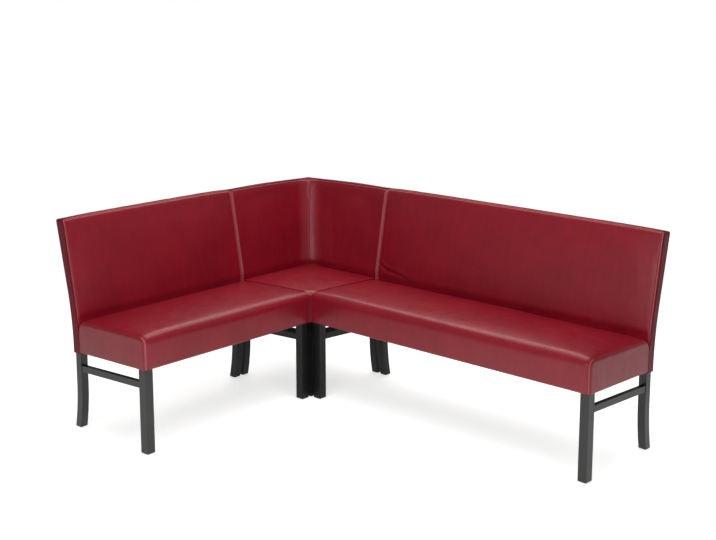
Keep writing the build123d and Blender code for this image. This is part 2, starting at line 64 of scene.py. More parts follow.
# Back, close to the solids
BACK_LOW = 0.323
BACK_THICK_LOW = 0.041
BACK_THICK_TOP = 0.050
REAR_KNEE = 0.460
FRONT_KNEE = 0.445
REAR_BEND = 1.270
FRONT_BEND = 0.600
REAR_RAKE = math.radians(12.0)
REAR_TOP = 0.864
FRONT_TOP = 0.875
BACK_TOP_RADIUS = 0.021
REAR_TOP_RADIUS = 0.003
REAR_WRAP = 0.005
FRONT_ARC_REACH = 0.05
BACK_CROWN = 0.005
TOP_CROWN = 0.0055
REAR_CROWN_SHARE = 0.6
BACK_TUCK = 0.421
CREVICE_TOP = 0.489
CREVICE_LOW = 0.425
CREVICE_REACH = 0.025
CREVICE_DEPTH = 0.0065
COVE_RADIUS = 0.085
MITRE_DROP = 0.009
CORNER_DROP = 0.003

# Sewing
SEAT_OUTER_EDGE = 0.020
SEAT_INNER_EDGE = 0.006
CORNER_SEAT_EDGE = 0.005
BACK_EDGE = 0.012
REAR_EDGE_SHARE = 0.25
LOW_EDGE_SHARE = 0.05
EDGE_KNEE = 0.44
EDGE_BLEND = 0.05
SEAT_REAR_OVERLAP = 0.0012
HEM_FRONT = 0.0092
HEM_END = 0.0036
SEAM_RIDGE = 0.0015
SEAM_GROOVE = 0.0012
SEAM_WIDTH = 0.0017
SEAM_SIDE = 0.0045
HOLD_REACH = 0.009
LEATHER = 0.002
CELL = 0.010
AFTER_EDGE = (0.0025, 0.006, 0.011, 0.018)
AFTER_RING = (0.003, 0.008)
FINE = (0.0, 0.0015, 0.0030, 0.0045, 0.0070, 0.0115)
CROWN_REACH = 0.150
LONG_CROWN_SHARE = 0.3
SOFT_GAP = 0.0003
MEETING = 0.00004
TINY = 1e-6

SEAT_SIDE_POINTS = 14
SEAT_TOP_POINTS = 40
ARC_POINTS = 9
NOSE_POINTS = 13
NOSE_ROUNDS = 4
SLOPE_STEP = 0.001
BACK_TOP_POINTS = 12
BACK_FRONT_POINTS = 44
BACK_TUCK_POINTS = 10
BACK_UP_STEPS = 40
BACK_DOWN_STEPS = 70

QUARTER = math.radians(90.0)
SEAM_TURN = math.radians(45.0)
SEAM_STEPS = 5
TURNS = np.linspace(SEAM_TURN, 0.0, SEAM_STEPS)


# Places of the three modules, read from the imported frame

class Place:
    """Where a module stands: its corner on the floor and the two ways it runs."""

    def __init__(self, corner, along, forward):
        self.corner, self.along, self.forward = (
            np.array([part[0], part[1], 0.0]) for part in (corner, along, forward)
        )

    def points(self, local):
        local = np.asarray(local, float)
        up = np.zeros(local.shape)
        up[..., 2] = local[..., 2]
        return self.corner + local[..., :1] * self.along + local[..., 1:2] * self.forward + up


right_low, right_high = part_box("right_seat_cover")
left_low, left_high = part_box("left_seat_cover")
wall_y = right_low[1] + SEAT_DEPTH
wall_x = left_high[0] - SEAT_DEPTH
RIGHT = Place((right_low[0], wall_y), (1, 0), (0, -1))
LEFT = Place((wall_x, left_low[1]), (0, 1), (1, 0))
CORNER = Place((wall_x, wall_y), (1, 0), (0, -1))
RIGHT_LENGTH = right_high[0] - right_low[0]
LEFT_LENGTH = left_high[1] - left_low[1]
CORNER_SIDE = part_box("corner_seat_cover")[1][0] - wall_x


# Curves

def run_length(points):
    """Distance along a run from its first point, for each of its points."""
    steps = np.linalg.norm(np.diff(np.asarray(points, float), axis=0), axis=1)
    return np.concatenate([[0.0], np.cumsum(steps)])


def at_distances(points, wanted):
    """Points of a polyline at distances along it."""
    marks = run_length(points)
    return np.stack([np.interp(wanted, marks, column) for column in np.asarray(points, float).T], axis=1)


def resample(points, count):
    """Evenly spaced points along a polyline, with its ends kept."""
    return at_distances(points, np.linspace(0.0, run_length(points)[-1], count))


def graded(points, count, fine_start):
    """Points along a polyline, close together at its sewn end and even beyond."""
    order = 1 if fine_start else -1
    points = np.asarray(points, float)[::order]
    beyond = np.linspace(FINE[-1], run_length(points)[-1], count - len(FINE) + 1)[1:]
    return at_distances(points, [*FINE, *beyond])[::order]


def arc(centre, radius, start, end, count=ARC_POINTS):
    """Points of an arc; angles from the first direction towards the second."""
    turns = np.linspace(start, end, count)
    return [(centre[0] + radius * math.cos(t), centre[1] + radius * math.sin(t)) for t in turns]


def halved(points):
    """An arc cut at its middle point, which both parts keep."""
    middle = len(points) // 2
    return points[:middle + 1], points[middle:]


def rounded(corner, before, after, radius):
    """Points of a fillet in a corner of the side view, from the side before to the side after."""
    corner, before, after = (np.array(point, float) for point in (corner, before, after))
    to_before = (before - corner) / np.linalg.norm(before - corner)
    to_after = (after - corner) / np.linalg.norm(after - corner)
    half = math.acos(float(np.clip(to_before @ to_after, -1.0, 1.0))) / 2
    reach = radius / math.tan(half)
    middle = (to_before + to_after) / np.linalg.norm(to_before + to_after)
    centre = corner + middle * radius / math.sin(half)
    first = corner + to_before * reach - centre
    last = corner + to_after * reach - centre
    rays = (first * (1 - share) + last * share for share in np.linspace(0.0, 1.0, ARC_POINTS))
    return [tuple(centre + ray / np.linalg.norm(ray) * radius) for ray in rays]


def smooth(share):
    share = np.clip(share, 0.0, 1.0)
    return share * share * (3.0 - 2.0 * share)


def bow(share):
    """A crown that is 0 at both ends of the share and 1 in the middle."""
    return 1.0 - (2.0 * np.clip(share, 0.0, 1.0) - 1.0) ** 2


def patch(bottom, top, left, right):
    """A four-sided panel between its border curves; bottom and top run left to right."""
    rows, columns = len(left), len(bottom)
    u = np.linspace(0.0, 1.0, columns)[None, :, None]
    v = np.linspace(0.0, 1.0, rows)[:, None, None]
    bottom, top = np.asarray(bottom)[None], np.asarray(top)[None]
    left, right = np.asarray(left)[:, None], np.asarray(right)[:, None]
    corners = (
        (1 - u) * (1 - v) * bottom[:, :1] + u * (1 - v) * bottom[:, -1:]
        + (1 - u) * v * top[:, :1] + u * v * top[:, -1:]
    )
    return ((1 - v) * bottom + v * top) + ((1 - u) * left + u * right) - corners


# Meshes

def placed(name, data):
    """Puts new mesh, camera or lamp data into the scene as an object."""
    obj = bpy.data.objects.new(name, data)
    bpy.context.scene.collection.objects.link(obj)
    return obj


def finished(name, shape):
    """Makes an object of a bmesh, with its faces turned the same way."""
    bmesh.ops.recalc_face_normals(shape, faces=shape.faces)
    data = bpy.data.meshes.new(name)
    shape.to_mesh(data)
    shape.free()
    return placed(name, data)


def shade_smooth(obj):
    obj.data.polygons.foreach_set("use_smooth", [True] * len(obj.data.polygons))


def store(obj, name, values):
    layer = obj.data.attributes.new(name, "FLOAT", "POINT")
    layer.data.foreach_set("value", np.asarray(values, np.float32))


def read(obj, name):
    values = np.zeros(len(obj.data.vertices), np.float32)
    obj.data.attributes[name].data.foreach_get("value", values)
    return values


def vectors(mesh, key="co"):
    """The places of a mesh's points, or their normals."""
    values = np.zeros(len(mesh.vertices) * 3, np.float32)
    mesh.vertices.foreach_get(key, values)
    return values.reshape(-1, 3).astype(float)


def set_coordinates(obj, values):
    obj.data.vertices.foreach_set("co", np.asarray(values, np.float32).ravel())
    obj.data.update()


def meeting_points(points):
    """Finds the points that coincide: the first of each group, and each point's group."""
    tree = kdtree.KDTree(len(points))
    for index, point in enumerate(points):
        tree.insert(point, index)
    tree.balance()
    leader = np.full(len(points), -1)
    for index, point in enumerate(points):
        if leader[index] < 0:
            for _, other, _ in tree.find_range(point, MEETING):
                if leader[other] < 0:
                    leader[other] = index
    return np.unique(leader, return_inverse=True)


class Skin:
    """A leather cover in the making: panels that share their seam points."""

    def __init__(self, place):
        self.place = place
        self.panels = []

    def panel(self, points, seam, held, flip=False, band=0.0):
        """Adds a grid of local points: distance to the seam, hold, and part in the band, which is painted
        darker as shade.
        """
        shape = points.shape[:2]
        index = np.arange(shape[0] * shape[1]).reshape(shape)
        a, b = index[:-1, :-1].ravel(), index[:-1, 1:].ravel()
        c, d = index[1:, 1:].ravel(), index[1:, :-1].ravel()
        quads = np.stack([d, c, b, a] if flip else [a, b, c, d], axis=1)
        values = [np.broadcast_to(value, shape).ravel() for value in (seam, held, band)]
        self.panels.append((quads, self.place.points(points).reshape(-1, 3), *values))

    def both_halves(self, points, seam, held, band=0.0):
        """Adds a panel and its mirror image across the corner module's diagonal."""
        self.panel(points, seam, held, True, band)
        self.panel(points[..., [1, 0, 2]], seam, held, False, band)

    def sew(self, name):
        """Joins panels where their points meet and makes the object."""
        quads, points, *values = zip(*self.panels)
        starts = np.cumsum([0] + [len(panel) for panel in points])
        quads = np.concatenate([faces + start for faces, start in zip(quads, starts)])
        points = np.concatenate(points)
        first, back = meeting_points(points)
        faces = [list(dict.fromkeys(face)) for face in back[quads].tolist()]
        mesh = bpy.data.meshes.new(name)
        mesh.from_pydata(points[first].tolist(), [], [face for face in faces if len(face) > 2])
        mesh.validate()
        obj = placed(name, mesh)
        merges = ("seam", np.inf, np.minimum), ("held", 0.0, np.maximum), ("band", 1.0, np.minimum)
        for (key, start, choose), given in zip(merges, values):
            merged = np.full(len(first), start)
            choose.at(merged, back, np.concatenate(given))
            store(obj, key, merged)
        return obj


def held_near(seam):
    """Holds the points close to a seam."""
    return (np.asarray(seam) < HOLD_REACH).astype(float)


def held_rim(grid):
    """Holds the outermost points of a panel."""
    hold = np.ones(grid.shape[:2])
    hold[1:-1, 1:-1] = 0.0
    return hold


# Strips: rows of points across a cover, one at each station along it

def at_along(profile, along):
    """Side-view points as local points at a place along the module."""
    profile = np.asarray(profile)
    return np.column_stack([np.full(len(profile), along), profile])


def joined(runs):
    return np.concatenate([runs[0]] + [run[1:] for run in runs[1:]])


def edge_rows(radius):
    """The strip's share of a rounded edge, from the seam inwards: place along and inset."""
    return [(radius * (1 - math.sin(turn)), radius * (1 - math.cos(turn))) for turn in TURNS]


def level_rows(first, last):
    """Rows without inset: at the given places and in even steps between them."""
    count = max(int(round((last[0] - first[-1]) / CELL)), 2)
    middle = np.linspace(first[-1], last[0], count + 1)[1:-1]
    return [(place, 0.0) for place in first + list(middle) + last]


def stations(length, radii):
    """Places along a strip between its end seams, with the inset of each."""
    first = [radii[0] + step for step in AFTER_EDGE]
    last = [length - radii[1] - step for step in reversed(AFTER_EDGE)]
    end = [(length - place, inset) for place, inset in reversed(edge_rows(radii[1]))]
    return edge_rows(radii[0]) + level_rows(first, last) + end


def nearer_end(along, length, radii):
    """Distance to the nearer end and that end's edge radius."""
    return min((along, radii[0]), (length - along, radii[1]))


def seam_distance(place, length, radii):
    """Distance along the surface from a station to the nearest end seam."""
    near, radius = nearer_end(place, length, radii)
    if near > radius:
        return radius * SEAM_TURN + near - radius
    return radius * (SEAM_TURN - math.asin(np.clip(1.0 - near / radius, 0.0, 1.0)))


def crown_at(along, length, radii):
    """How full the padding is at a station: it rises fast from each end and stays nearly level."""
    near, radius = nearer_end(along, length, radii)
    near = np.clip((near - radius) / CROWN_REACH, 0.0, 1.0)
    share = (along - radii[0]) / (length - radii[0] - radii[1])
    return (1.0 - LONG_CROWN_SHARE) * (1.0 - (1.0 - near) ** 2) + LONG_CROWN_SHARE * bow(share)


# Side views

SEAT_REAR = BACK_THICK_LOW + SOFT_GAP
TOP_OVERHANG = math.tan(REAR_RAKE) * (REAR_TOP - REAR_KNEE)
FRONT_TOP_PLACE = BACK_THICK_TOP - TOP_OVERHANG
FRONT_SLOPE = (BACK_THICK_LOW - FRONT_TOP_PLACE) / (FRONT_TOP - FRONT_KNEE)


def seat_low(forward):
    return SEAT_LOW_REAR + (SEAT_LOW_FRONT - SEAT_LOW_REAR) * forward / SEAT_DEPTH


def leant(height, knee, reach, slope):
    """How far an upright line has leant over at a height, past a wide bend round its knee."""
    over = np.clip(height - (knee - reach), 0.0, 2 * reach)
    return over * over / (4 * reach) * slope + slope * np.maximum(height - knee - reach, 0.0)


def rear_at(height):
    """The back's rear line."""
    return -leant(height, REAR_KNEE, REAR_BEND * math.tan(REAR_RAKE / 2), math.tan(REAR_RAKE))


def front_at(height):
    """The back's front line, upright behind the seat and leaning back above it."""
    reach = FRONT_BEND * math.atan(FRONT_SLOPE) / 2
    return BACK_THICK_LOW - leant(height, FRONT_KNEE, reach, FRONT_SLOPE)


def edge_weight(height):
    """How much of the edge rounding a back's front line takes: little beside the seat."""
    return LOW_EDGE_SHARE + (1.0 - LOW_EDGE_SHARE) * smooth((height - EDGE_KNEE) / EDGE_BLEND)


def seat_runs(crown, inset):
    """The seat cover's side view: up the rear, over the top to the nose, down the front."""
    rear = SEAT_REAR - SEAT_REAR_OVERLAP + LOW_EDGE_SHARE * inset
    front = SEAT_DEPTH - inset
    radius = SEAT_FRONT_RADIUS - inset
    rise = SEAT_END_CROWN + crown * (SEAT_CROWN - SEAT_END_CROWN)

    def top(forward):
        share = (forward - SEAT_REAR) / (SEAT_DEPTH - SEAT_REAR)
        return seat_low(forward) + SEAT_SIDE - inset + rise * bow(share)

    turn = front - radius
    for _ in range(NOSE_ROUNDS):
        slope = (top(turn + SLOPE_STEP) - top(turn - SLOPE_STEP)) / (2 * SLOPE_STEP)
        turn = front - radius * (1.0 + slope / math.hypot(1.0, slope))
    nose_angle = math.atan2(1.0, -slope)
    centre = (front - radius, top(turn) - radius * math.sin(nose_angle))
    start = rear + SEAT_REAR_RADIUS
    rear_arc = halved(arc((start, top(start) - SEAT_REAR_RADIUS), SEAT_REAR_RADIUS, math.pi, QUARTER))
    nose = halved(arc(centre, radius, nose_angle, 0.0, NOSE_POINTS))
    crest = [(f, top(f)) for f in np.linspace(start, turn, SEAT_TOP_POINTS)[1:-1]]
    up = [(rear, seat_low(rear))] + rear_arc[0]
    return up, rear_arc[1] + crest + nose[0], nose[1] + [(front, seat_low(front))]


def back_runs(crown, inset, drop):
    """The back cover's side view: up the rear, over the top, down the front."""
    rear_top = REAR_TOP - inset - drop + REAR_CROWN_SHARE * TOP_CROWN * crown
    front_top = FRONT_TOP - inset - drop + TOP_CROWN * crown

    def front_line(height):
        share = (height - FRONT_KNEE) / (front_top - FRONT_KNEE)
        drawn_in = CREVICE_DEPTH * smooth((CREVICE_TOP - height) / CREVICE_REACH)
        drawn_in *= smooth((height - CREVICE_LOW) / CREVICE_REACH)
        return front_at(height) - inset * edge_weight(height) + crown * BACK_CROWN * bow(share) - drawn_in

    def rear_line(height):
        return rear_at(height) + inset * REAR_EDGE_SHARE

    wrap = rear_top - REAR_WRAP
    below = front_top - FRONT_ARC_REACH
    rear_corner = (rear_line(rear_top), rear_top)
    front_corner = (front_line(front_top), front_top)
    rear_arc = rounded(rear_corner, (rear_line(wrap), wrap), front_corner, REAR_TOP_RADIUS)
    front_arc = rounded(front_corner, rear_corner, (front_line(below), below), BACK_TOP_RADIUS)
    to_seam, from_seam = halved(front_arc)
    up = [(rear_line(z), z) for z in np.linspace(BACK_LOW, wrap, BACK_UP_STEPS)]
    heights = np.linspace(from_seam[-1][1], BACK_LOW, BACK_DOWN_STEPS)[1:]
    return up, [up[-1]] + rear_arc + to_seam, from_seam + [(front_line(z), z) for z in heights]


def split_at(points, height):
    """A run that comes down, cut in two where it passes a height."""
    points = np.asarray(points)
    forward, up = points.T
    cut = np.array([np.interp(height, up[::-1], forward[::-1]), height])
    return np.vstack([points[up > height + TINY], cut]), np.vstack([cut, points[up < height - TINY]])


def seat_contour(crown, inset):
    counts = (SEAT_SIDE_POINTS, SEAT_TOP_POINTS, SEAT_SIDE_POINTS)
    return [resample(run, count) for run, count in zip(seat_runs(crown, inset), counts)]


def back_contour(crown, inset, drop=0.0):
    up, over, down = back_runs(crown, inset, drop)
    front, tuck = split_at(down, BACK_TUCK)
    return [
        resample(up, BACK_FRONT_POINTS + BACK_TUCK_POINTS - 1),
        graded(over, BACK_TOP_POINTS, False),
        graded(front, BACK_FRONT_POINTS, True),
        resample(tuck, BACK_TUCK_POINTS),
    ]


# The straight benches' covers

def end_panel(skin, length, radius, first, contour, flip, hem, band=0.0):
    """A boxed end: rings from the seam round the edge, then a flat panel filling them."""
    end, way = (0.0, 1.0) if first else (length, -1.0)
    spots = [
        (radius * (1 - math.cos(turn)), radius * (1 - math.sin(turn)), radius * (turn - SEAM_TURN))
        for turn in QUARTER - TURNS
    ] + [(radius + step, 0.0, radius * SEAM_TURN + step) for step in AFTER_RING]
    grid = np.stack([at_along(joined(contour(inset)), end + way * along) for inset, along, _ in spots])
    seam = np.array(spots)[:, 2:]
    skin.panel(grid, seam, held_near(seam), flip, band)
    left, top, *rest = (at_along(run, end) for run in contour(spots[-1][0]))
    right = joined(rest)[::-1]
    bottom = np.linspace(left[0], right[0], len(top))
    filled = patch(bottom, top, left, right)
    skin.panel(filled, 1.0, held_rim(filled), flip, band)
    edge = np.concatenate([grid[:, 0], bottom, grid[::-1, -1]])
    skin.panel(np.stack([edge, edge + [way * hem, 0.0, 0.0]]), 1.0, 1.0, flip, band)


def both_ends(skin, length, radii, contour, hem, bands=(0.0, 0.0)):
    for first, radius, band in zip((True, False), radii, bands):
        end_panel(skin, length, radius, first, contour, first, hem, band)


def bench_seat(name, place, length, radii):
    """The seat cover of a straight bench."""
    skin = Skin(place)
    rows, seams = [], []
    for along, inset in stations(length, radii):
        rear, over, front = seat_contour(crown_at(along, length, radii), inset)
        rear = resample([(rear[0][0], seat_low(SEAT_REAR) + BOARD_TOP), *rear[-4:]], SEAT_SIDE_POINTS)
        hem = front[-1][0] - HEM_FRONT
        rows.append(at_along(joined([rear, over, front, [front[-1], (hem, seat_low(hem))]]), along))
        seams.append(seam_distance(along, length, radii))
    seam = np.array(seams)[:, None]
    hold = np.repeat(held_near(seam), len(rows[0]), axis=1)
    hold[:, :SEAT_SIDE_POINTS] = hold[:, -3:] = 1.0
    skin.panel(np.stack(rows), seam, hold)
    both_ends(skin, length, radii, lambda inset: seat_contour(0.0, inset), HEM_END)
    return skin.sew(name)


def back_seams(runs):
    """Distance of each point of a back's strip to the seam along its top front edge."""
    over, front = run_length(runs[1]), run_length(runs[2])
    return np.concatenate([over[-1] - over, front[1:]])


def back_hold(seam):
    """Holds a back's strip near its seams and along its two stapled edges."""
    hold = held_near(seam)
    hold[:, :3] = hold[:, -2:] = 1.0
    return hold


def top_band(seam):
    """The part of a back's strip that lies behind its top seam."""
    band = np.zeros(seam.shape)
    band[:, :BACK_TOP_POINTS - 1] = 1.0
    return band


BACK_RADII = (BACK_EDGE, BACK_EDGE)


def bench_back(name, place, length, bands):
    """The back cover of a straight bench: front panel with a band round its top and ends."""
    skin = Skin(place)
    rows, seams = [], []
    for along, inset in stations(length, BACK_RADII):
        runs = back_contour(crown_at(along, length, BACK_RADII), inset)
        rows.append(at_along(joined(runs[1:3]), along))
        seams.append(np.minimum(back_seams(runs), seam_distance(along, length, BACK_RADII)))
    seam = np.stack(seams)
    skin.panel(np.stack(rows), seam, back_hold(seam), band=top_band(seam))
    both_ends(skin, length, BACK_RADII, lambda inset: back_contour(0.0, inset), 0.0, bands)
    return skin.sew(name)


# The corner's back: one half on the long bench's side, its mirror image on the other

def round_corner(point, share, travel):
    """Plan place of a back point after a travel from the corner module's open end."""
    forward, up = point
    radius = COVE_RADIUS * share
    turn_start = forward + radius
    straight = CORNER_SIDE - turn_start
    if travel <= straight:
        return CORNER_SIDE - travel, forward, up
    if radius < TINY:
        return turn_start, forward, up
    angle = min((travel - straight) / radius, SEAM_TURN)
    return turn_start - radius * math.sin(angle), turn_start - radius * math.cos(angle), up


def half_length(forward, share):
    radius = COVE_RADIUS * share
    return CORNER_SIDE - forward - radius + radius * SEAM_TURN


def corner_drop(share):
    return CORNER_DROP + MITRE_DROP * share ** 2.5


def corner_crown(share):
    """How full the corner's back is, from its open end to its inner seam."""
    return bow(0.5 + 0.5 * share if share > 0.5 else share) ** 0.5 * (1.0 - share ** 6)


def corner_back(name):
    """The corner module's back: two halves with a seam in the rounded inner corner."""
    skin = Skin(CORNER)
    nominal = half_length(BACK_THICK_LOW, 1.0)
    first = [BACK_EDGE + step for step in AFTER_EDGE]
    last = [nominal - step for step in (AFTER_EDGE[-1], *FINE[::-1])]
    rounding = np.concatenate([np.linspace(0.0, 1.0, BACK_TOP_POINTS), np.ones(BACK_FRONT_POINTS - 1)])
    rows, seams = [], []
    for place, inset in edge_rows(BACK_EDGE) + level_rows(first, last):
        share = max(place - BACK_EDGE, 0.0) / (nominal - BACK_EDGE)
        crown = corner_crown(share)
        runs = back_contour(crown, inset, corner_drop(share) + TOP_CROWN * crown)
        row = []
        for point, roundness in zip(joined(runs[1:3]), rounding):
            reach = half_length(point[0], roundness) - BACK_EDGE
            travel = BACK_EDGE + share * reach if inset == 0.0 else place
            row.append(round_corner(point, roundness, travel))
        rows.append(row)
        to_end = place - BACK_EDGE * (1 - math.sin(SEAM_TURN))
        seams.append(np.minimum(back_seams(runs), min(max(to_end, 0.0), nominal - place)))
    seam = np.stack(seams)
    skin.both_halves(np.array(rows), seam, back_hold(seam), top_band(seam))

    def contour(inset):
        return back_contour(0.0, inset, CORNER_DROP)

    mirrored = Skin(Place(CORNER.corner, CORNER.forward, CORNER.along))
    end_panel(skin, CORNER_SIDE, BACK_EDGE, False, contour, False, 0.0)
    end_panel(mirrored, CORNER_SIDE, BACK_EDGE, False, contour, True, 0.0)
    skin.panels += mirrored.panels
    return skin.sew(name)


# The corner's seat

OPEN_CORNER_RADIUS = 0.009
CORNER_SIDE_POINTS = 34
CORNER_COVE_POINTS = 12
CORNER_NOSE_POINTS = 8
CORNER_DROP_SHARES = (0.03, 0.08, *np.linspace(0.16, 1.0, 12))
NOSE_CUT_LIMIT = 0.96


def corner_low(along, forward):
    return SEAT_LOW_REAR + (SEAT_LOW_FRONT - SEAT_LOW_REAR) * along * forward / CORNER_SIDE ** 2


def seat_border(inset):
    """Half of the corner seat's plan outline: along the wall from the cove, and the open end."""
    rear = SEAT_REAR + inset
    far = CORNER_SIDE - inset
    cove = COVE_RADIUS - SOFT_GAP - inset
    nose = OPEN_CORNER_RADIUS - inset
    centre, tip = rear + cove, far - nose
    wall = arc((centre, centre), cove, -QUARTER - SEAM_TURN, -QUARTER, CORNER_COVE_POINTS) + [(far, rear)]
    end = [(far, rear)] + arc((tip, tip), nose, 0.0, SEAM_TURN, CORNER_NOSE_POINTS)
    return resample(wall, CORNER_SIDE_POINTS), resample(end, CORNER_SIDE_POINTS)


def nose_cut(points):
    """Rounds the corner seat over towards its open corner, across the diagonal."""
    reach = (points[..., 0] + points[..., 1]) / math.sqrt(2.0)
    tip = CORNER_SIDE * math.sqrt(2.0) - (math.sqrt(2.0) - 1.0) * OPEN_CORNER_RADIUS
    over = np.clip(reach - (tip - SEAT_FRONT_RADIUS), 0.0, SEAT_FRONT_RADIUS * NOSE_CUT_LIMIT)
    drop = SEAT_FRONT_RADIUS - np.sqrt(SEAT_FRONT_RADIUS ** 2 - over ** 2)
    low = corner_low(points[..., 0], points[..., 1])
    lowered = points.copy()
    lowered[..., 2] -= drop * np.clip((points[..., 2] - low) / SEAT_SIDE, 0.0, 1.0)
    return lowered


def corner_top(plan, below):
    """Plan points of the corner seat at their heights, a distance below its crowned top."""
    u, v = (np.moveaxis(plan, -1, 0) - SEAT_REAR) / (CORNER_SIDE - SEAT_REAR)
    rise = SEAT_END_CROWN + (SEAT_CROWN - SEAT_END_CROWN) * np.sqrt(bow(u) * bow(v))
    height = corner_low(plan[..., 0], plan[..., 1]) + SEAT_SIDE + rise - below
    return np.concatenate([plan, height[..., None]], axis=-1)


def corner_seat(name):
    """The corner module's seat cover: a crowned top sewn to a band all round."""
    skin = Skin(CORNER)
    wall, end = seat_border(CORNER_SEAT_EDGE)
    top = corner_top(patch(wall, end[:, ::-1], wall[:, ::-1], end), 0.0)
    skin.panel(nose_cut(top), 1.0, held_rim(top), True)
    for run in range(2):
        rows, seams = [], []
        for turn in np.concatenate([TURNS[::-1], (QUARTER - TURNS)[1:]]):
            plan = seat_border(CORNER_SEAT_EDGE * (1 - math.sin(turn)))[run]
            rows.append(corner_top(plan, CORNER_SEAT_EDGE * (1 - math.cos(turn))))
            seams.append(abs(turn - SEAM_TURN) * CORNER_SEAT_EDGE)
        brim = rows[-1]
        fall = np.zeros(brim.shape)
        fall[:, 2] = corner_low(brim[:, 0], brim[:, 1]) - brim[:, 2]
        rows += [brim + fall * share for share in CORNER_DROP_SHARES]
        seams += [SEAM_TURN * CORNER_SEAT_EDGE + share * SEAT_SIDE for share in CORNER_DROP_SHARES]
        grid = nose_cut(np.stack(rows))
        seam = np.array(seams)[:, None]
        hold = np.repeat(held_near(seam), grid.shape[1], axis=1)
        hold[-2:] = 1.0
        middle = 0.5 * (SEAT_REAR + CORNER_SIDE)
        hem = grid[-1].copy()
        hem[:, :2] = middle + (hem[:, :2] - middle) * (1.0 - 2 * HEM_END / CORNER_SIDE)
        skin.both_halves(grid, seam, hold)
        skin.both_halves(np.stack([grid[-1], hem]), 1.0, 1.0)
    return skin.sew(name)


# The rear panels: leather over the board behind each back

REAR_PANEL_LOW_GAP = 0.003
REAR_PANEL_TOP_GAP = 0.0075
REAR_PANEL_SIDE_GAP = 0.0035
REAR_PANEL_SINK = 0.0004
REAR_PANEL_CROWN = 0.0022
REAR_LEATHER = 0.0012
REAR_CORNER_RADIUS = 0.005
REAR_ROWS = 44


def rear_heights(drop=0.0):
    return np.linspace(BACK_LOW + REAR_PANEL_LOW_GAP, REAR_TOP - REAR_PANEL_TOP_GAP - drop, REAR_ROWS)


def rear_puff(shares):
    """How far the rear leather stands out; its stapled edges are sunk a little."""
    full = bow(shares)[:, None] * bow(np.linspace(0.0, 1.0, REAR_ROWS))[None, :]
    return REAR_PANEL_CROWN * full ** 0.4 - REAR_PANEL_SINK


def rear_seams(side, heights):
    """Distance to the nearest stapled edge, from the distances to the side edges."""
    rise = np.minimum(heights - heights[0], heights[-1] - heights)
    return np.minimum(side[:, None], rise[None, :])


def bench_rear(name, place, length):
    """The leather panel behind a straight bench's back."""
    skin = Skin(place)
    heights = rear_heights()
    count = int(round(length / CELL))
    across = np.linspace(REAR_PANEL_SIDE_GAP, length - REAR_PANEL_SIDE_GAP, count)
    forward = rear_at(heights)[None, :] - rear_puff(np.linspace(0.0, 1.0, count))
    seam = rear_seams(np.minimum(across - across[0], across[-1] - across), heights)
    grid = np.stack(np.broadcast_arrays(across[:, None], forward, heights[None, :]), axis=-1)
    skin.panel(grid, seam, held_near(seam))
    return skin.sew(name)


def corner_rear(name):
    """The corner module's rear leather, folded round its outer corner."""
    skin = Skin(CORNER)
    heights = rear_heights(CORNER_DROP)
    count = int(round(CORNER_SIDE / CELL))
    half = np.linspace(0.0, 1.0, count)
    puff = rear_puff(half * 0.5)
    line = rear_at(heights)
    centre = line + REAR_CORNER_RADIUS
    end = CORNER_SIDE - REAR_PANEL_SIDE_GAP
    rows = [(end + (centre - end) * share, line - stand, heights) for share, stand in zip(half, puff)]
    reach = REAR_CORNER_RADIUS + puff[-1]
    for turn in np.linspace(0.0, SEAM_TURN, SEAM_STEPS)[1:]:
        rows.append((centre - reach * math.sin(turn), centre - reach * math.cos(turn), heights))
    side = np.concatenate([np.linspace(0.0, CORNER_SIDE, count), np.full(SEAM_STEPS - 1, CORNER_SIDE)])
    seam = rear_seams(side, heights)
    skin.both_halves(np.array(rows).transpose(0, 2, 1), seam, held_near(seam))
    return skin.sew(name)


# The piping round the rear edge of each back: a bead whose near-black colour is painted shade for the
# shadowed gap there

PIPING_RADIUS = 0.0032
PIPING_SIDES = 10
PIPING_INSET = 0.0026
PIPING_TURN = 0.006
PIPING_TURN_POINTS = 5
PIPING_MITRE_SHARE = 0.3
PIPING_LOW = BACK_LOW + 0.001
PIPING_UPRIGHT_POINTS = 46
PIPING_TOP_POINTS = 44


def piping(name, place, path):
    """A round bead along a path of local points."""
    path = np.array(path)
    ahead = np.gradient(path, axis=0)
    ahead /= np.linalg.norm(ahead, axis=1, keepdims=True)
    shape = bmesh.new()
    rings = []
    side = np.array([0.0, 1.0, 0.0])
    for point, along in zip(path, ahead):
        side = side - along * (side @ along)
        side /= np.linalg.norm(side)
        third = np.cross(along, side)
        ring = []
        for turn in np.linspace(0.0, 4 * QUARTER, PIPING_SIDES + 1)[:-1]:
            offset = side * math.cos(turn) + third * math.sin(turn)
            ring.append(shape.verts.new(place.points(point + offset * PIPING_RADIUS)))
        rings.append(ring)
    for ring, following in zip(rings, rings[1:]):
        for index in range(PIPING_SIDES):
            after = (index + 1) % PIPING_SIDES
            shape.faces.new([ring[index], ring[after], following[after], following[index]])
    shape.faces.new(rings[0])
    shape.faces.new(rings[-1])
    obj = finished(name, shape)
    shade_smooth(obj)
    return obj


def rear_edge(height):
    return float(rear_at(height)) + PIPING_INSET


def upright(along, top):
    """The bead's way up one end of a back."""
    heights = np.linspace(PIPING_LOW, top - PIPING_TURN, PIPING_UPRIGHT_POINTS)
    return [(along, rear_edge(z), z) for z in heights]


def small_turn(low, high):
    """A small round turn between an upright and the top."""
    low, high = np.array(low), np.array(high)
    corner = np.array([low[0], high[1], high[2]])
    shares = np.linspace(0.0, 1.0, PIPING_TURN_POINTS + 2)[1:-1]
    return [tuple((1 - s) ** 2 * low + 2 * s * (1 - s) * corner + s ** 2 * high) for s in shares]


def top_height(crown, drop=0.0):
    return REAR_TOP - drop + REAR_CROWN_SHARE * TOP_CROWN * crown - PIPING_INSET


def top_point(along, height):
    return along, rear_edge(height), height


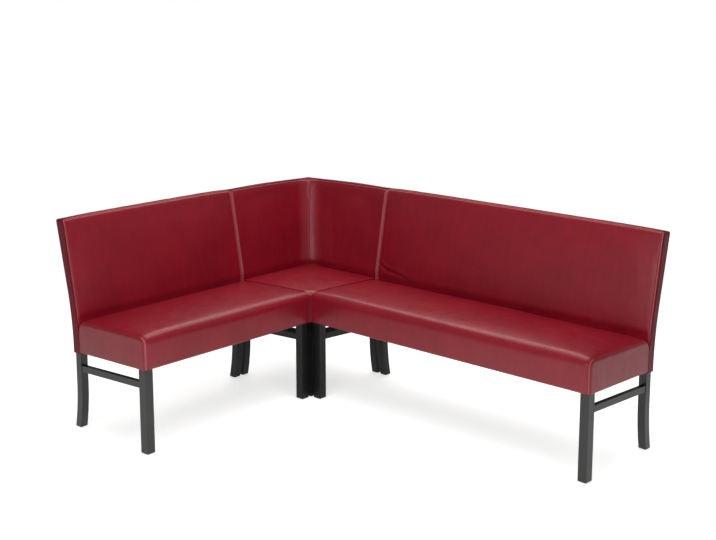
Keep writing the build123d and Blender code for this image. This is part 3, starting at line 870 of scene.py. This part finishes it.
def bench_piping(name, place, length):
    first, last = PIPING_INSET, length - PIPING_INSET
    steps = np.linspace(first + PIPING_TURN, last - PIPING_TURN, int(length / CELL))
    over = [top_point(along, top_height(crown_at(along, length, BACK_RADII))) for along in steps]
    up, down = upright(first, top_height(0.0)), upright(last, top_height(0.0))[::-1]
    turns = small_turn(up[-1], over[0]), small_turn(down[0], over[-1])[::-1]
    return piping(name, place, up + turns[0] + over + turns[1] + down)


def corner_piping(name):
    half = []
    last = CORNER_SIDE - PIPING_INSET
    corner_height = top_height(0.0, CORNER_DROP + MITRE_DROP)
    point = rear_edge(corner_height)
    outer = point + PIPING_TURN
    for along in np.linspace(last - PIPING_TURN, outer, PIPING_TOP_POINTS):
        share = (last - along) / (last - outer)
        half.append(top_point(along, top_height(corner_crown(share), corner_drop(share))))
    up = upright(last, top_height(0.0, CORNER_DROP))
    first = up + small_turn(up[-1], half[0]) + half
    middle = point + PIPING_MITRE_SHARE * PIPING_TURN
    other = [(f, a, z) for a, f, z in reversed(first)]
    return piping(name, CORNER, first + [(middle, middle, corner_height)] + other)


# The dust covers: thin cloth stapled under the frames, cut out round the legs

CLOTH_SAG = 0.0025
CLOTH_CELL = 0.020
CLOTH_LAYER = 0.0005
CLOTH_BELOW = 0.0006
CLOTH_END_GAP = 0.006
CLOTH_REAR = 0.0445
CLOTH_FRONT_GAP = 0.011
LEG_ROOM_ALONG = 0.0435
LEG_ROOM_FORWARD = 0.0495
CORNER_LEG_ROOM = 0.0475
POST_ROOM = 0.075


def lines(*marks):
    """Grid lines about a cell apart that fall on each of the marks."""
    result = [marks[0]]
    for start, end in zip(marks, marks[1:]):
        count = max(int(round((end - start) / CLOTH_CELL)), 1)
        result += list(np.linspace(start, end, count + 1)[1:])
    return np.array(result)


def dust_sheet(name, place, along, forward, low_at, cut):
    """A stretched sheet on a grid, without the cells that fall in a cut-out."""
    shape = bmesh.new()
    grid = {}
    for i, a in enumerate(along):
        for j, f in enumerate(forward):
            droop = bow((a - along[0]) / np.ptp(along)) * bow((f - forward[0]) / np.ptp(forward))
            height = low_at(a, f) - CLOTH_BELOW - CLOTH_SAG * droop ** 0.5
            grid[i, j] = shape.verts.new(place.points([a, f, height]))
    for i in range(len(along) - 1):
        for j in range(len(forward) - 1):
            if not cut((along[i] + along[i + 1]) / 2, (forward[j] + forward[j + 1]) / 2):
                shape.faces.new([grid[i, j], grid[i + 1, j], grid[i + 1, j + 1], grid[i, j + 1]])
    bmesh.ops.delete(shape, geom=[v for v in shape.verts if not v.link_faces], context="VERTS")
    return finished(name, shape)


def bench_cloth(name, place, length):
    front, notch = SEAT_DEPTH - CLOTH_FRONT_GAP, SEAT_DEPTH - LEG_ROOM_FORWARD
    along = lines(CLOTH_END_GAP, LEG_ROOM_ALONG, length - LEG_ROOM_ALONG, length - CLOTH_END_GAP)

    def cut(along, forward):
        return forward > notch and not LEG_ROOM_ALONG < along < length - LEG_ROOM_ALONG

    return dust_sheet(name, place, along, lines(CLOTH_REAR, notch, front), lambda a, f: seat_low(f), cut)


def corner_cloth(name):
    notch = CORNER_SIDE - CORNER_LEG_ROOM
    marks = lines(CLOTH_REAR, POST_ROOM, notch, CORNER_SIDE - CLOTH_FRONT_GAP)

    def cut(along, forward):
        return min(along, forward) > notch or max(along, forward) < POST_ROOM

    return dust_sheet(name, CORNER, marks, marks, corner_low, cut)


# From sewn panels to padded leather

SWELL_FRAMES = 20
SWELL_CAP = 0.005
EVEN_ROUNDS = 70
STREAK = 0.00022
STREAK_WAVES = 55.0
STREAK_LENGTH_SHARE = 0.07
PUCKER = 0.0006
PUCKER_REACH = 0.030
PUCKER_WAVES = 26.0
PUCKER_FINE_WAVES = 61.0
VALLEY_REACH = 0.012
VALLEY_FROM = 0.4 * BACK_THICK_LOW
CLOTH_SETTINGS = {
    "quality": 5,
    "mass": 0.4,
    "tension_stiffness": 30.0,
    "compression_stiffness": 30.0,
    "shear_stiffness": 12.0,
    "bending_stiffness": 2.0,
    "shrink_min": -0.006,
    "use_pressure": True,
    "uniform_pressure_force": 1.1,
    "vertex_group_mass": "held",
    "pin_stiffness": 1.0,
}

# The soft fold low on the long back, from its inner seam: places along the bench and heights
FOLD = ((0.002, 0.536), (0.058, 0.509), (0.151, 0.497), (0.195, 0.478))
FOLD_DEPTH = 0.0034
FOLD_WIDTH = 0.0065
FOLD_PUFF = 0.55
PUFF_PLACE = 2.2
PUFF_WIDTH = 1.4


def face_outwards(obj, inside):
    """Turns all faces the same way and outwards, away from a point inside or the middle."""
    shape = bmesh.new()
    shape.from_mesh(obj.data)
    bmesh.ops.recalc_face_normals(shape, faces=shape.faces)
    if inside is None:
        inside = sum((v.co for v in shape.verts), Vector()) / len(shape.verts)
    middle = Vector(inside)
    if sum(f.normal.dot(f.calc_center_median() - middle) * f.calc_area() for f in shape.faces) < 0:
        bmesh.ops.reverse_faces(shape, faces=shape.faces)
    shape.to_mesh(obj.data)
    shape.free()


def modified(obj, kind, **settings):
    """Adds a modifier and bakes it into the mesh."""
    modifier = obj.modifiers.new(kind, kind)
    for key, value in settings.items():
        setattr(modifier, key, value)
    graph = bpy.context.evaluated_depsgraph_get()
    mesh = bpy.data.meshes.new_from_object(obj.evaluated_get(graph), depsgraph=graph)
    obj.modifiers.clear()
    obj.data = mesh


def thicken(obj, thickness):
    """Gives leather or cloth its thickness, inwards."""
    modified(obj, "SOLIDIFY", thickness=thickness, offset=-1.0, use_rim=True)


def even_out(obj, shift):
    """Smooths how far the points moved, so that the padding is full but not crumpled."""
    ends = np.zeros(len(obj.data.edges) * 2, np.int64)
    obj.data.edges.foreach_get("vertices", ends)
    first, second = ends.reshape(-1, 2).T
    count = len(shift)
    links = np.bincount(np.concatenate([first, second]), minlength=count)[:, None]
    free = (1.0 - read(obj, "held"))[:, None]
    for _ in range(EVEN_ROUNDS):
        total = [
            np.bincount(first, shift[second, axis], count) + np.bincount(second, shift[first, axis], count)
            for axis in range(3)
        ]
        shift = (0.5 * shift + 0.5 * np.stack(total, axis=1) / np.maximum(links, 1)) * free
    return shift


def swell(obj, upward, sideways):
    """Fills a cover: cloth under pressure, held along its seams and stapled edges.

    The two shares say how much of the filling shows on level and on upright faces.
    """
    group = obj.vertex_groups.new(name="held")
    for index, value in enumerate(read(obj, "held")):
        if value > 0:
            group.add([index], float(value), "REPLACE")
    before = vectors(obj.data)
    cloth = obj.modifiers.new("cloth", "CLOTH")
    for key, value in CLOTH_SETTINGS.items():
        setattr(cloth.settings, key, value)
    cloth.settings.effector_weights.gravity = 0.0
    cloth.collision_settings.use_collision = False
    for step in range(1, SWELL_FRAMES + 1):
        bpy.context.scene.frame_set(step)
    moved = obj.evaluated_get(bpy.context.evaluated_depsgraph_get())
    shift = even_out(obj, vectors(moved.to_mesh()) - before)
    moved.to_mesh_clear()
    obj.modifiers.remove(cloth)
    obj.vertex_groups.clear()
    bpy.context.scene.frame_set(1)
    lean = np.abs(vectors(obj.data, "normal")[:, 2:])
    shift *= sideways + (upward - sideways) * lean
    size = np.linalg.norm(shift, axis=1, keepdims=True)
    set_coordinates(obj, before + shift * np.minimum(1.0, SWELL_CAP / np.maximum(size, TINY)))


def noise_at(points, waves):
    return np.array([noise.noise(Vector(point) * waves) for point in points])


def press_seams(obj, valley, fold, gentle):
    """Raises the seam between two shallow grooves and gathers the leather beside it."""
    distance = read(obj, "seam").astype(float)
    points, facing = vectors(obj.data), vectors(obj.data, "normal")
    open_part = valley(points)
    rise = np.where(open_part < SEAM_SIDE, -1.0, 1.0)
    ridge = SEAM_RIDGE * rise * np.exp(-((distance / SEAM_WIDTH) ** 2))
    groove = SEAM_GROOVE * np.exp(-(((distance - SEAM_SIDE) / SEAM_WIDTH) ** 2))
    groove *= open_part > VALLEY_REACH
    near = np.exp(-((distance - SEAM_SIDE * 2) / PUCKER_REACH) ** 2) * (distance > SEAM_SIDE)
    gathers = noise_at(points, PUCKER_WAVES) + 0.5 * noise_at(points, PUCKER_FINE_WAVES)
    drawn = noise_at(points * (1.0, 1.0, STREAK_LENGTH_SHARE), STREAK_WAVES)
    ease = 1.0 - gentle * np.abs(facing[:, 2])
    lift = (ridge - groove) * ease + PUCKER * gathers * near + STREAK * drawn + fold(points)
    set_coordinates(obj, points + facing * lift[:, None])


def same(value):
    """A measure that is the same at all points."""
    return lambda points: np.full(len(points), value)


def mitre_valley(points):
    """Distance to the upright plane of the corner back's inner seam, where that seam is sunk."""
    along = points[:, 0] - CORNER.corner[0]
    forward = CORNER.corner[1] - points[:, 1]
    return np.where(along + forward > VALLEY_FROM, np.abs(along - forward) / math.sqrt(2.0), 1.0)


def pulled_fold(points):
    """A groove along the fold line with a soft swelling above it, both fading to its ends."""
    along = points[:, 0] - RIGHT.corner[0]
    line_along, line_height = np.array(FOLD).T
    start, end = line_along[0], line_along[-1]
    share = np.clip((along - start) / (end - start), 0.0, 1.0)
    strength = np.sin(share ** 0.6 * 2 * QUARTER) ** 0.5 * (along < end)
    above = points[:, 2] - np.interp(along, line_along, line_height)
    groove = np.exp(-((above / FOLD_WIDTH) ** 2))
    swelling = np.exp(-(((above - PUFF_PLACE * FOLD_WIDTH) / (PUFF_WIDTH * FOLD_WIDTH)) ** 2))
    return FOLD_DEPTH * strength * (FOLD_PUFF * swelling - groove)


BAND_LIMIT = 0.2
# Painted highlight: a pale leather on the faces next to the seams on upright and sloping faces, where the
# rounded seam edges catch the lamps
HIGHLIGHT_REACH = 0.0037
HIGHLIGHT_LEAN = 0.92
HIGHLIGHT_ROOM = 0.030
LEFT_HIGHLIGHT_REACH = 0.0037
RIGHT_HIGHLIGHT_REACH = 0.0020


def front_corner_highlight(place, outer_end, reach):
    """How wide the painted highlight runs along a seat's upright front corner at its outer end."""
    def highlight_near_corner(points):
        local = points - place.corner
        near_end = np.abs(local @ place.along - outer_end) < HIGHLIGHT_ROOM
        return reach * (near_end & (local @ place.forward > SEAT_DEPTH - HIGHLIGHT_ROOM))

    return highlight_near_corner


def paint_shade_and_highlight(obj, valley, edge_reach):
    """Gives the band's faces the darker leather, which is painted shade, and the faces beside the seams
    that are not level the paler leather, which is a painted highlight.
    """
    band, seam, points = read(obj, "band"), read(obj, "seam"), vectors(obj.data)
    open_part = valley(points)
    reach = edge_reach(points) * (np.abs(vectors(obj.data, "normal")[:, 2]) < HIGHLIGHT_LEAN)
    for face in obj.data.polygons:
        corners = list(face.vertices)
        if sum(band[corner] for corner in corners) / len(corners) > BAND_LIMIT:
            face.material_index = 1
        elif sum(seam[corner] - reach[corner] for corner in corners) < 0:
            face.material_index = 2 if min(open_part[corner] for corner in corners) > VALLEY_REACH else 0


def padded_cover(obj, body, nodes, slot, materials, fill, thickness=LEATHER, valley=same(1.0),
                 fold=same(0.0), fullness=(1.0, 1.0), inside=None, edge_reach=same(0.0), gentle=0.0):
    """Fills a cover, presses its seams, thickens it, hides the solids it replaces and hangs it on its body.
    """
    face_outwards(obj, inside)
    swell(obj, *fullness)
    modified(obj, "SUBSURF", levels=1, render_levels=1)
    press_seams(obj, valley, fold, gentle)
    obj.data.materials.clear()
    for material in materials:
        obj.data.materials.append(material)
    paint_shade_and_highlight(obj, valley, edge_reach)
    thicken(obj, thickness)
    shade_smooth(obj)
    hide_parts(*nodes)
    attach(obj, body)


# Materials: nodes only, in object coordinates so that each keeps its real scale

class Nodes:
    def __init__(self, name):
        self.material = bpy.data.materials.new(name)
        self.material.use_nodes = True
        self.tree = self.material.node_tree
        self.shader = self.tree.nodes["Principled BSDF"]
        self.place = self.add("ShaderNodeTexCoord").outputs["Object"]

    def add(self, kind, **values):
        node = self.tree.nodes.new(kind)
        for key, value in values.items():
            setattr(node, key, value)
        return node

    def put(self, value, socket):
        """Links an input to another node's output, or sets it to a value."""
        if isinstance(value, bpy.types.NodeSocket):
            self.tree.links.new(value, socket)
        else:
            socket.default_value = value

    def feed(self, node, **inputs):
        for key, value in inputs.items():
            self.put(value, node.inputs[key.replace("_", " ")])

    def chain(self, node, *values):
        """Feeds a node's first inputs in their order and returns its first output."""
        for value, socket in zip(values, node.inputs):
            self.put(value, socket)
        return node.outputs[0]

    def maths(self, operation, *values):
        return self.chain(self.add("ShaderNodeMath", operation=operation), *values)

    def noise(self, stretch, scale, detail=3.0, roughness=0.55):
        mapped = self.add("ShaderNodeMapping")
        self.feed(mapped, Scale=stretch, Vector=self.place)
        node = self.add("ShaderNodeTexNoise")
        self.feed(node, Scale=scale, Detail=detail, Roughness=roughness, Vector=mapped.outputs["Vector"])
        return node.outputs["Fac"]

    def ramp(self, value, stops):
        node = self.add("ShaderNodeValToRGB")
        ramp = node.color_ramp
        while len(ramp.elements) < len(stops):
            ramp.elements.new(0.5)
        for element, (position, colour) in zip(ramp.elements, stops):
            element.position = position
            element.color = (*colour, 1.0)
        self.feed(node, Fac=value)
        return node.outputs["Color"]

    def spread(self, value, low, high, start=0.0, end=1.0):
        node = self.add("ShaderNodeMapRange")
        self.feed(node, From_Min=start, From_Max=end, To_Min=low, To_Max=high, Value=value)
        return node.outputs["Result"]

    def surface(self, colour, rough, height, relief, shine=0.5, metallic=0.0):
        """Finishes the material: colour, roughness, relief as strength and depth, and shine."""
        bump = self.add("ShaderNodeBump")
        self.feed(bump, Strength=relief[0], Distance=relief[1], Height=height)
        self.feed(self.shader, Base_Color=colour, Roughness=rough, Normal=bump.outputs["Normal"],
                  Specular_IOR_Level=shine, Metallic=metallic)
        return self.material


EVEN = (1.0, 1.0, 1.0)
MIDDLE_PART = (0.3, 0.7)


def leather(name, deep, middle, light, shine=0.43):
    """Smooth dyed leather: faint clouding and streaks, fine pebbled grain, satin finish."""
    nodes = Nodes(name)
    cloud = nodes.noise(EVEN, 5.0, 4.0)
    streak = nodes.noise((1.0, 1.0, 0.10), 60.0)
    mix = nodes.maths("MULTIPLY_ADD", streak, 0.4, nodes.spread(cloud, 0.0, 0.6))
    colour = nodes.ramp(mix, [(0.25, deep), (0.5, middle), (0.8, light)])
    rough = nodes.spread(nodes.noise(EVEN, 24.0, 4.0), 0.33, 0.43, *MIDDLE_PART)
    return nodes.surface(colour, rough, nodes.noise(EVEN, 420.0, 1.0), (0.12, 0.0003), shine)


def grained(name, dark, light, pattern, stops, rough, relief, **finish):
    """A plain material whose colour and relief follow one pattern, and its roughness if it varies."""
    nodes = Nodes(name)
    grain = nodes.noise(*pattern)
    colour = nodes.ramp(grain, list(zip(stops, (dark, light))))
    if not isinstance(rough, float):
        rough = nodes.spread(grain, *rough, *MIDDLE_PART)
    return nodes.surface(colour, rough, grain, relief, **finish)


# Pattern, colour stops, roughness and relief: black stain over grain that runs up the legs,
# bare timber or plywood, thin cloth or foam, and moulded plastic or brushed steel
STAIN = ((1.0, 1.0, 0.045), 260.0, 5.0, 0.6), (0.3, 0.75), (0.36, 0.52), (0.25, 0.0005)
TIMBER = ((0.06, 1.0, 1.0), 120.0, 5.0, 0.6), MIDDLE_PART, 0.75, (0.3, 0.0004)
FIBRES = (EVEN, 900.0, 2.0), (0.35, 0.65), 0.95, (0.4, 0.0003)
PLASTIC = ((1.0, 8.0, 1.0), 300.0), MIDDLE_PART, (0.44, 0.56), (0.1, 0.0002)
STEEL = ((1.0, 8.0, 1.0), 300.0), MIDDLE_PART, (0.29, 0.41), (0.1, 0.0002)

RED = leather("dark_red_leather", (0.155, 0.0020, 0.0095), (0.205, 0.0030, 0.012), (0.26, 0.0045, 0.014))
REAR_RED = leather("rear_leather", (0.145, 0.0018, 0.009), (0.19, 0.0026, 0.011), (0.235, 0.004, 0.013))
# A darker copy of the leather with less shine: painted shade on the backs' top band and outer ends
BAND_SHADE_RED = leather("band_leather_painted_shade", (0.095, 0.0016, 0.0075), (0.125, 0.0022, 0.009), (0.16, 0.003, 0.011),
                   0.12)
# A paler, pinkish copy of the leather: painted highlight along the seam edges
HIGHLIGHT_RED = leather("painted_highlight_leather", (0.27, 0.045, 0.055), (0.32, 0.060, 0.070), (0.37, 0.075, 0.085))
# A darker copy of the black stained wood: painted shade for the legs and posts deep under the seats
SHADED_INNER_WOOD = grained("inner_wood_painted_shade", (0.002, 0.002, 0.002), (0.008, 0.008, 0.008), *STAIN, shine=0.22)
MATERIALS = {
    "rear_leather": REAR_RED,
    "leather": RED,
    "foam": grained("foam", (0.62, 0.57, 0.42), (0.74, 0.69, 0.54), *FIBRES),
    "stained_wood": grained("black_stained_wood", (0.005, 0.005, 0.006), (0.019, 0.0185, 0.019), *STAIN),
    "frame_wood": grained("frame_timber", (0.42, 0.27, 0.14), (0.6, 0.43, 0.25), *TIMBER),
    "board": grained("plywood", (0.5, 0.36, 0.21), (0.66, 0.51, 0.33), *TIMBER),
    "dust_cloth": grained("dust_cloth", (0.018, 0.018, 0.02), (0.035, 0.035, 0.037), *FIBRES),
    "glide": grained("glide_plastic", (0.03, 0.03, 0.03), (0.05, 0.05, 0.05), *PLASTIC),
    "connector_steel": grained("zinc_steel", (0.5, 0.5, 0.52), (0.66, 0.66, 0.68), *STEEL, metallic=1.0),
}

slots = {part["node"]: part["material_slot"] for part in frame["record"]["subparts"]}
for node, obj in frame["nodes"].items():
    obj.data.materials.clear()
    # Inner and corner wood gets the darker copy: painted shade, not a different stain
    dark = slots[node] == "stained_wood" and ("inner" in node or node.startswith("corner"))
    obj.data.materials.append(SHADED_INNER_WOOD if dark else MATERIALS[slots[node]])


# The covers

SEAT_FULLNESS = (1.0, 0.3)
BACK_FULLNESS = (0.6, 0.45)
REAR_FULLNESS = (0.3, 0.3)
SEAT_GENTLE = 0.7
COVER_FILL = 0.85
REAR_FILL = 0.9
IN_FRONT = (0.3, 0.6)
BENCHES = (("right", RIGHT, RIGHT_LENGTH), ("left", LEFT, LEFT_LENGTH))
SEAT_RADII = ((SEAT_INNER_EDGE, SEAT_OUTER_EDGE), (SEAT_OUTER_EDGE, SEAT_INNER_EDGE))
# Which ends of each back get the band's painted shade: only the outer ends
BACK_BANDS = ((0.0, 1.0), (1.0, 0.0))
# The seats' upright front corners at their outer ends, which get a painted highlight strip
FRONT_CORNER_HIGHLIGHTS = (
    front_corner_highlight(RIGHT, RIGHT_LENGTH, RIGHT_HIGHLIGHT_REACH),
    front_corner_highlight(LEFT, 0.0, LEFT_HIGHLIGHT_REACH),
)


def cover(obj, module, part, foams, fullness, **shape):
    """A seat or back cover with its foams, on the body of its module."""
    body = module + ("_module" if module == "corner" else "_bench")
    nodes = [module + "_" + name for name in [part] + foams]
    leathers = (RED, BAND_SHADE_RED, HIGHLIGHT_RED)
    padded_cover(obj, body, nodes, "leather", leathers, COVER_FILL, fullness=fullness, **shape)


seats = [
    bench_seat(side + "_seat_leather", place, length, radii)
    for (side, place, length), radii in zip(BENCHES, SEAT_RADII)
]
for seat, (side, _, _), reach in zip(seats, BENCHES, FRONT_CORNER_HIGHLIGHTS):
    cover(seat, side, "seat_cover", ["seat_foam"], SEAT_FULLNESS, gentle=SEAT_GENTLE, edge_reach=reach)
cover(corner_seat("corner_seat_leather"), "corner", "seat_cover", ["seat_foam"], SEAT_FULLNESS)
backs = [
    bench_back(side + "_back_leather", place, length, bands)
    for (side, place, length), bands in zip(BENCHES, BACK_BANDS)
]
for back, (side, _, _), fold in zip(backs, BENCHES, (pulled_fold, same(0.0))):
    cover(back, side, "back_cover", ["back_foam"], BACK_FULLNESS, fold=fold, edge_reach=same(HIGHLIGHT_REACH))
cover(corner_back("corner_back_leather"), "corner", "back_cover_right", ["back_cover_left", "back_foams"],
      BACK_FULLNESS, valley=mitre_valley, edge_reach=same(HIGHLIGHT_REACH))


def rear(obj, body, node, inside):
    padded_cover(obj, body, [node], "rear_leather", (REAR_RED,), REAR_FILL, REAR_LEATHER,
                 fullness=REAR_FULLNESS, inside=inside)


for side, place, length in BENCHES:
    panel = bench_rear(side + "_rear_leather", place, length)
    rear(panel, side + "_bench", side + "_rear_cover", place.points((length / 2, *IN_FRONT)))
rear(corner_rear("corner_rear_leather"), "corner_module", "corner_rear_covers",
     CORNER.points((CORNER_SIDE / 2, *IN_FRONT)))

# Near-black colour of the piping: painted shade for the shadowed gap along the back's rear edge
PIPING_SHADE_COLOURS = (0.022, 0.002, 0.005), (0.032, 0.003, 0.007), (0.045, 0.004, 0.009)
PIPING_SHADE_LEATHER = leather("piping_painted_shade", *PIPING_SHADE_COLOURS)


def welt(obj, body):
    obj.data.materials.append(PIPING_SHADE_LEATHER)
    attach(obj, body)


for side, place, length in BENCHES:
    welt(bench_piping(side + "_back_piping", place, length), side + "_bench")
welt(corner_piping("corner_back_piping"), "corner_module")


def dust(obj, body, node):
    thicken(obj, CLOTH_LAYER)
    obj.data.materials.append(MATERIALS["dust_cloth"])
    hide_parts(node)
    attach(obj, body)


for side, place, length in BENCHES:
    dust(bench_cloth(side + "_under_cloth", place, length), side + "_bench", side + "_dust_cover")
dust(corner_cloth("corner_under_cloth"), "corner_module", "corner_dust_cover")


# Studio

IMAGE_WIDTH = 716
FOCAL_PIXELS = 1254.6
HORIZON_LIFT_PIXELS = -70.0
CAMERA_PLACE = (3.2594, -3.5796, 1.8786)
CAMERA_TURN = math.radians(42.22)
CAMERA_PITCH = math.radians(10.69)
SENSOR = 36.0

camera = bpy.data.cameras.new("camera")
camera.sensor_width = SENSOR
camera.lens = FOCAL_PIXELS / IMAGE_WIDTH * SENSOR
camera.shift_y = HORIZON_LIFT_PIXELS / IMAGE_WIDTH
camera.clip_end = 100.0
view = placed("camera", camera)
view.location = CAMERA_PLACE
view.rotation_euler = (QUARTER - CAMERA_PITCH, 0.0, CAMERA_TURN)
bpy.context.scene.camera = view

FLOOR_HALF = 120.0
FLOOR_LIT_REACH = 1.2
FLOOR_PLAIN_REACH = 3.2
FLOOR_LIFT = 0.62
FLOOR_ROUGHNESS = 0.9
FLOOR_SHINE = 0.1
WHITE = (1.0, 1.0, 1.0, 1.0)
PALE = (0.9, 0.9, 0.9, 1.0)
SKY_LEVEL = 0.30
WARM = (1.0, 0.95, 0.88)


def floor():
    """A pale floor that keeps the shadow near the bench and runs out to plain white."""
    mesh = bpy.data.meshes.new("floor")
    corners = [(-1, -1), (1, -1), (1, 1), (-1, 1)]
    mesh.from_pydata([(x * FLOOR_HALF, y * FLOOR_HALF, 0.0) for x, y in corners], [], [(0, 1, 2, 3)])
    obj = placed("floor", mesh)
    nodes = Nodes("pale_floor")
    length = nodes.add("ShaderNodeVectorMath", operation="LENGTH")
    nodes.chain(length, nodes.place)
    far = nodes.spread(length.outputs["Value"], 0.0, 1.0, FLOOR_LIT_REACH, FLOOR_PLAIN_REACH)
    rays = nodes.add("ShaderNodeLightPath").outputs
    seen = nodes.maths("MAXIMUM", rays["Is Camera Ray"], rays["Is Glossy Ray"])
    shown = nodes.maths("MAXIMUM", seen, rays["Is Transmission Ray"])
    share = nodes.maths("MULTIPLY", shown, far)
    lifted = nodes.maths("MULTIPLY", shown, FLOOR_LIFT)
    nodes.feed(nodes.shader, Base_Color=PALE, Roughness=FLOOR_ROUGHNESS, Specular_IOR_Level=FLOOR_SHINE,
               Emission_Color=WHITE, Emission_Strength=lifted)
    plain = nodes.add("ShaderNodeEmission").outputs[0]
    mixed = nodes.chain(nodes.add("ShaderNodeMixShader"), share, nodes.shader.outputs[0], plain)
    nodes.feed(nodes.tree.nodes["Material Output"], Surface=mixed)
    mesh.materials.append(nodes.material)


def sky():
    """An even dim room; the camera sees only the floor, which runs out past the picture."""
    world = bpy.data.worlds.new("studio")
    bpy.context.scene.world = world
    world.use_nodes = True
    background = world.node_tree.nodes["Background"]
    background.inputs["Color"].default_value = WHITE
    background.inputs["Strength"].default_value = SKY_LEVEL


def lamp(name, place, target, size, power, mirrored=True, colour=WHITE[:3]):
    data = bpy.data.lights.new(name, "AREA")
    data.color = colour
    data.shape = "RECTANGLE"
    data.size, data.size_y = size
    data.energy = power
    obj = placed(name, data)
    obj.location = place
    obj.rotation_euler = (Vector(target) - Vector(place)).to_track_quat("-Z", "Y").to_euler()
    obj.visible_glossy = mirrored


floor()
sky()
lamp("overhead", (-0.9, 1.1, 2.8), (0.0, -0.1, 0.4), (2.3, 2.3), 44.0, colour=WARM)
lamp("top", (0.6, -0.6, 3.4), (0.0, 0.0, 0.4), (2.4, 2.4), 54.0, mirrored=False, colour=WARM)
lamp("front", (0.95, -3.6, 1.7), (0.0, 0.0, 0.6), (2.0, 1.4), 38.0)
lamp("side", (3.6, -0.9, 1.9), (0.0, 0.0, 0.5), (2.0, 2.0), 21.0, mirrored=False)

bpy.context.scene.view_settings.view_transform = "Standard"
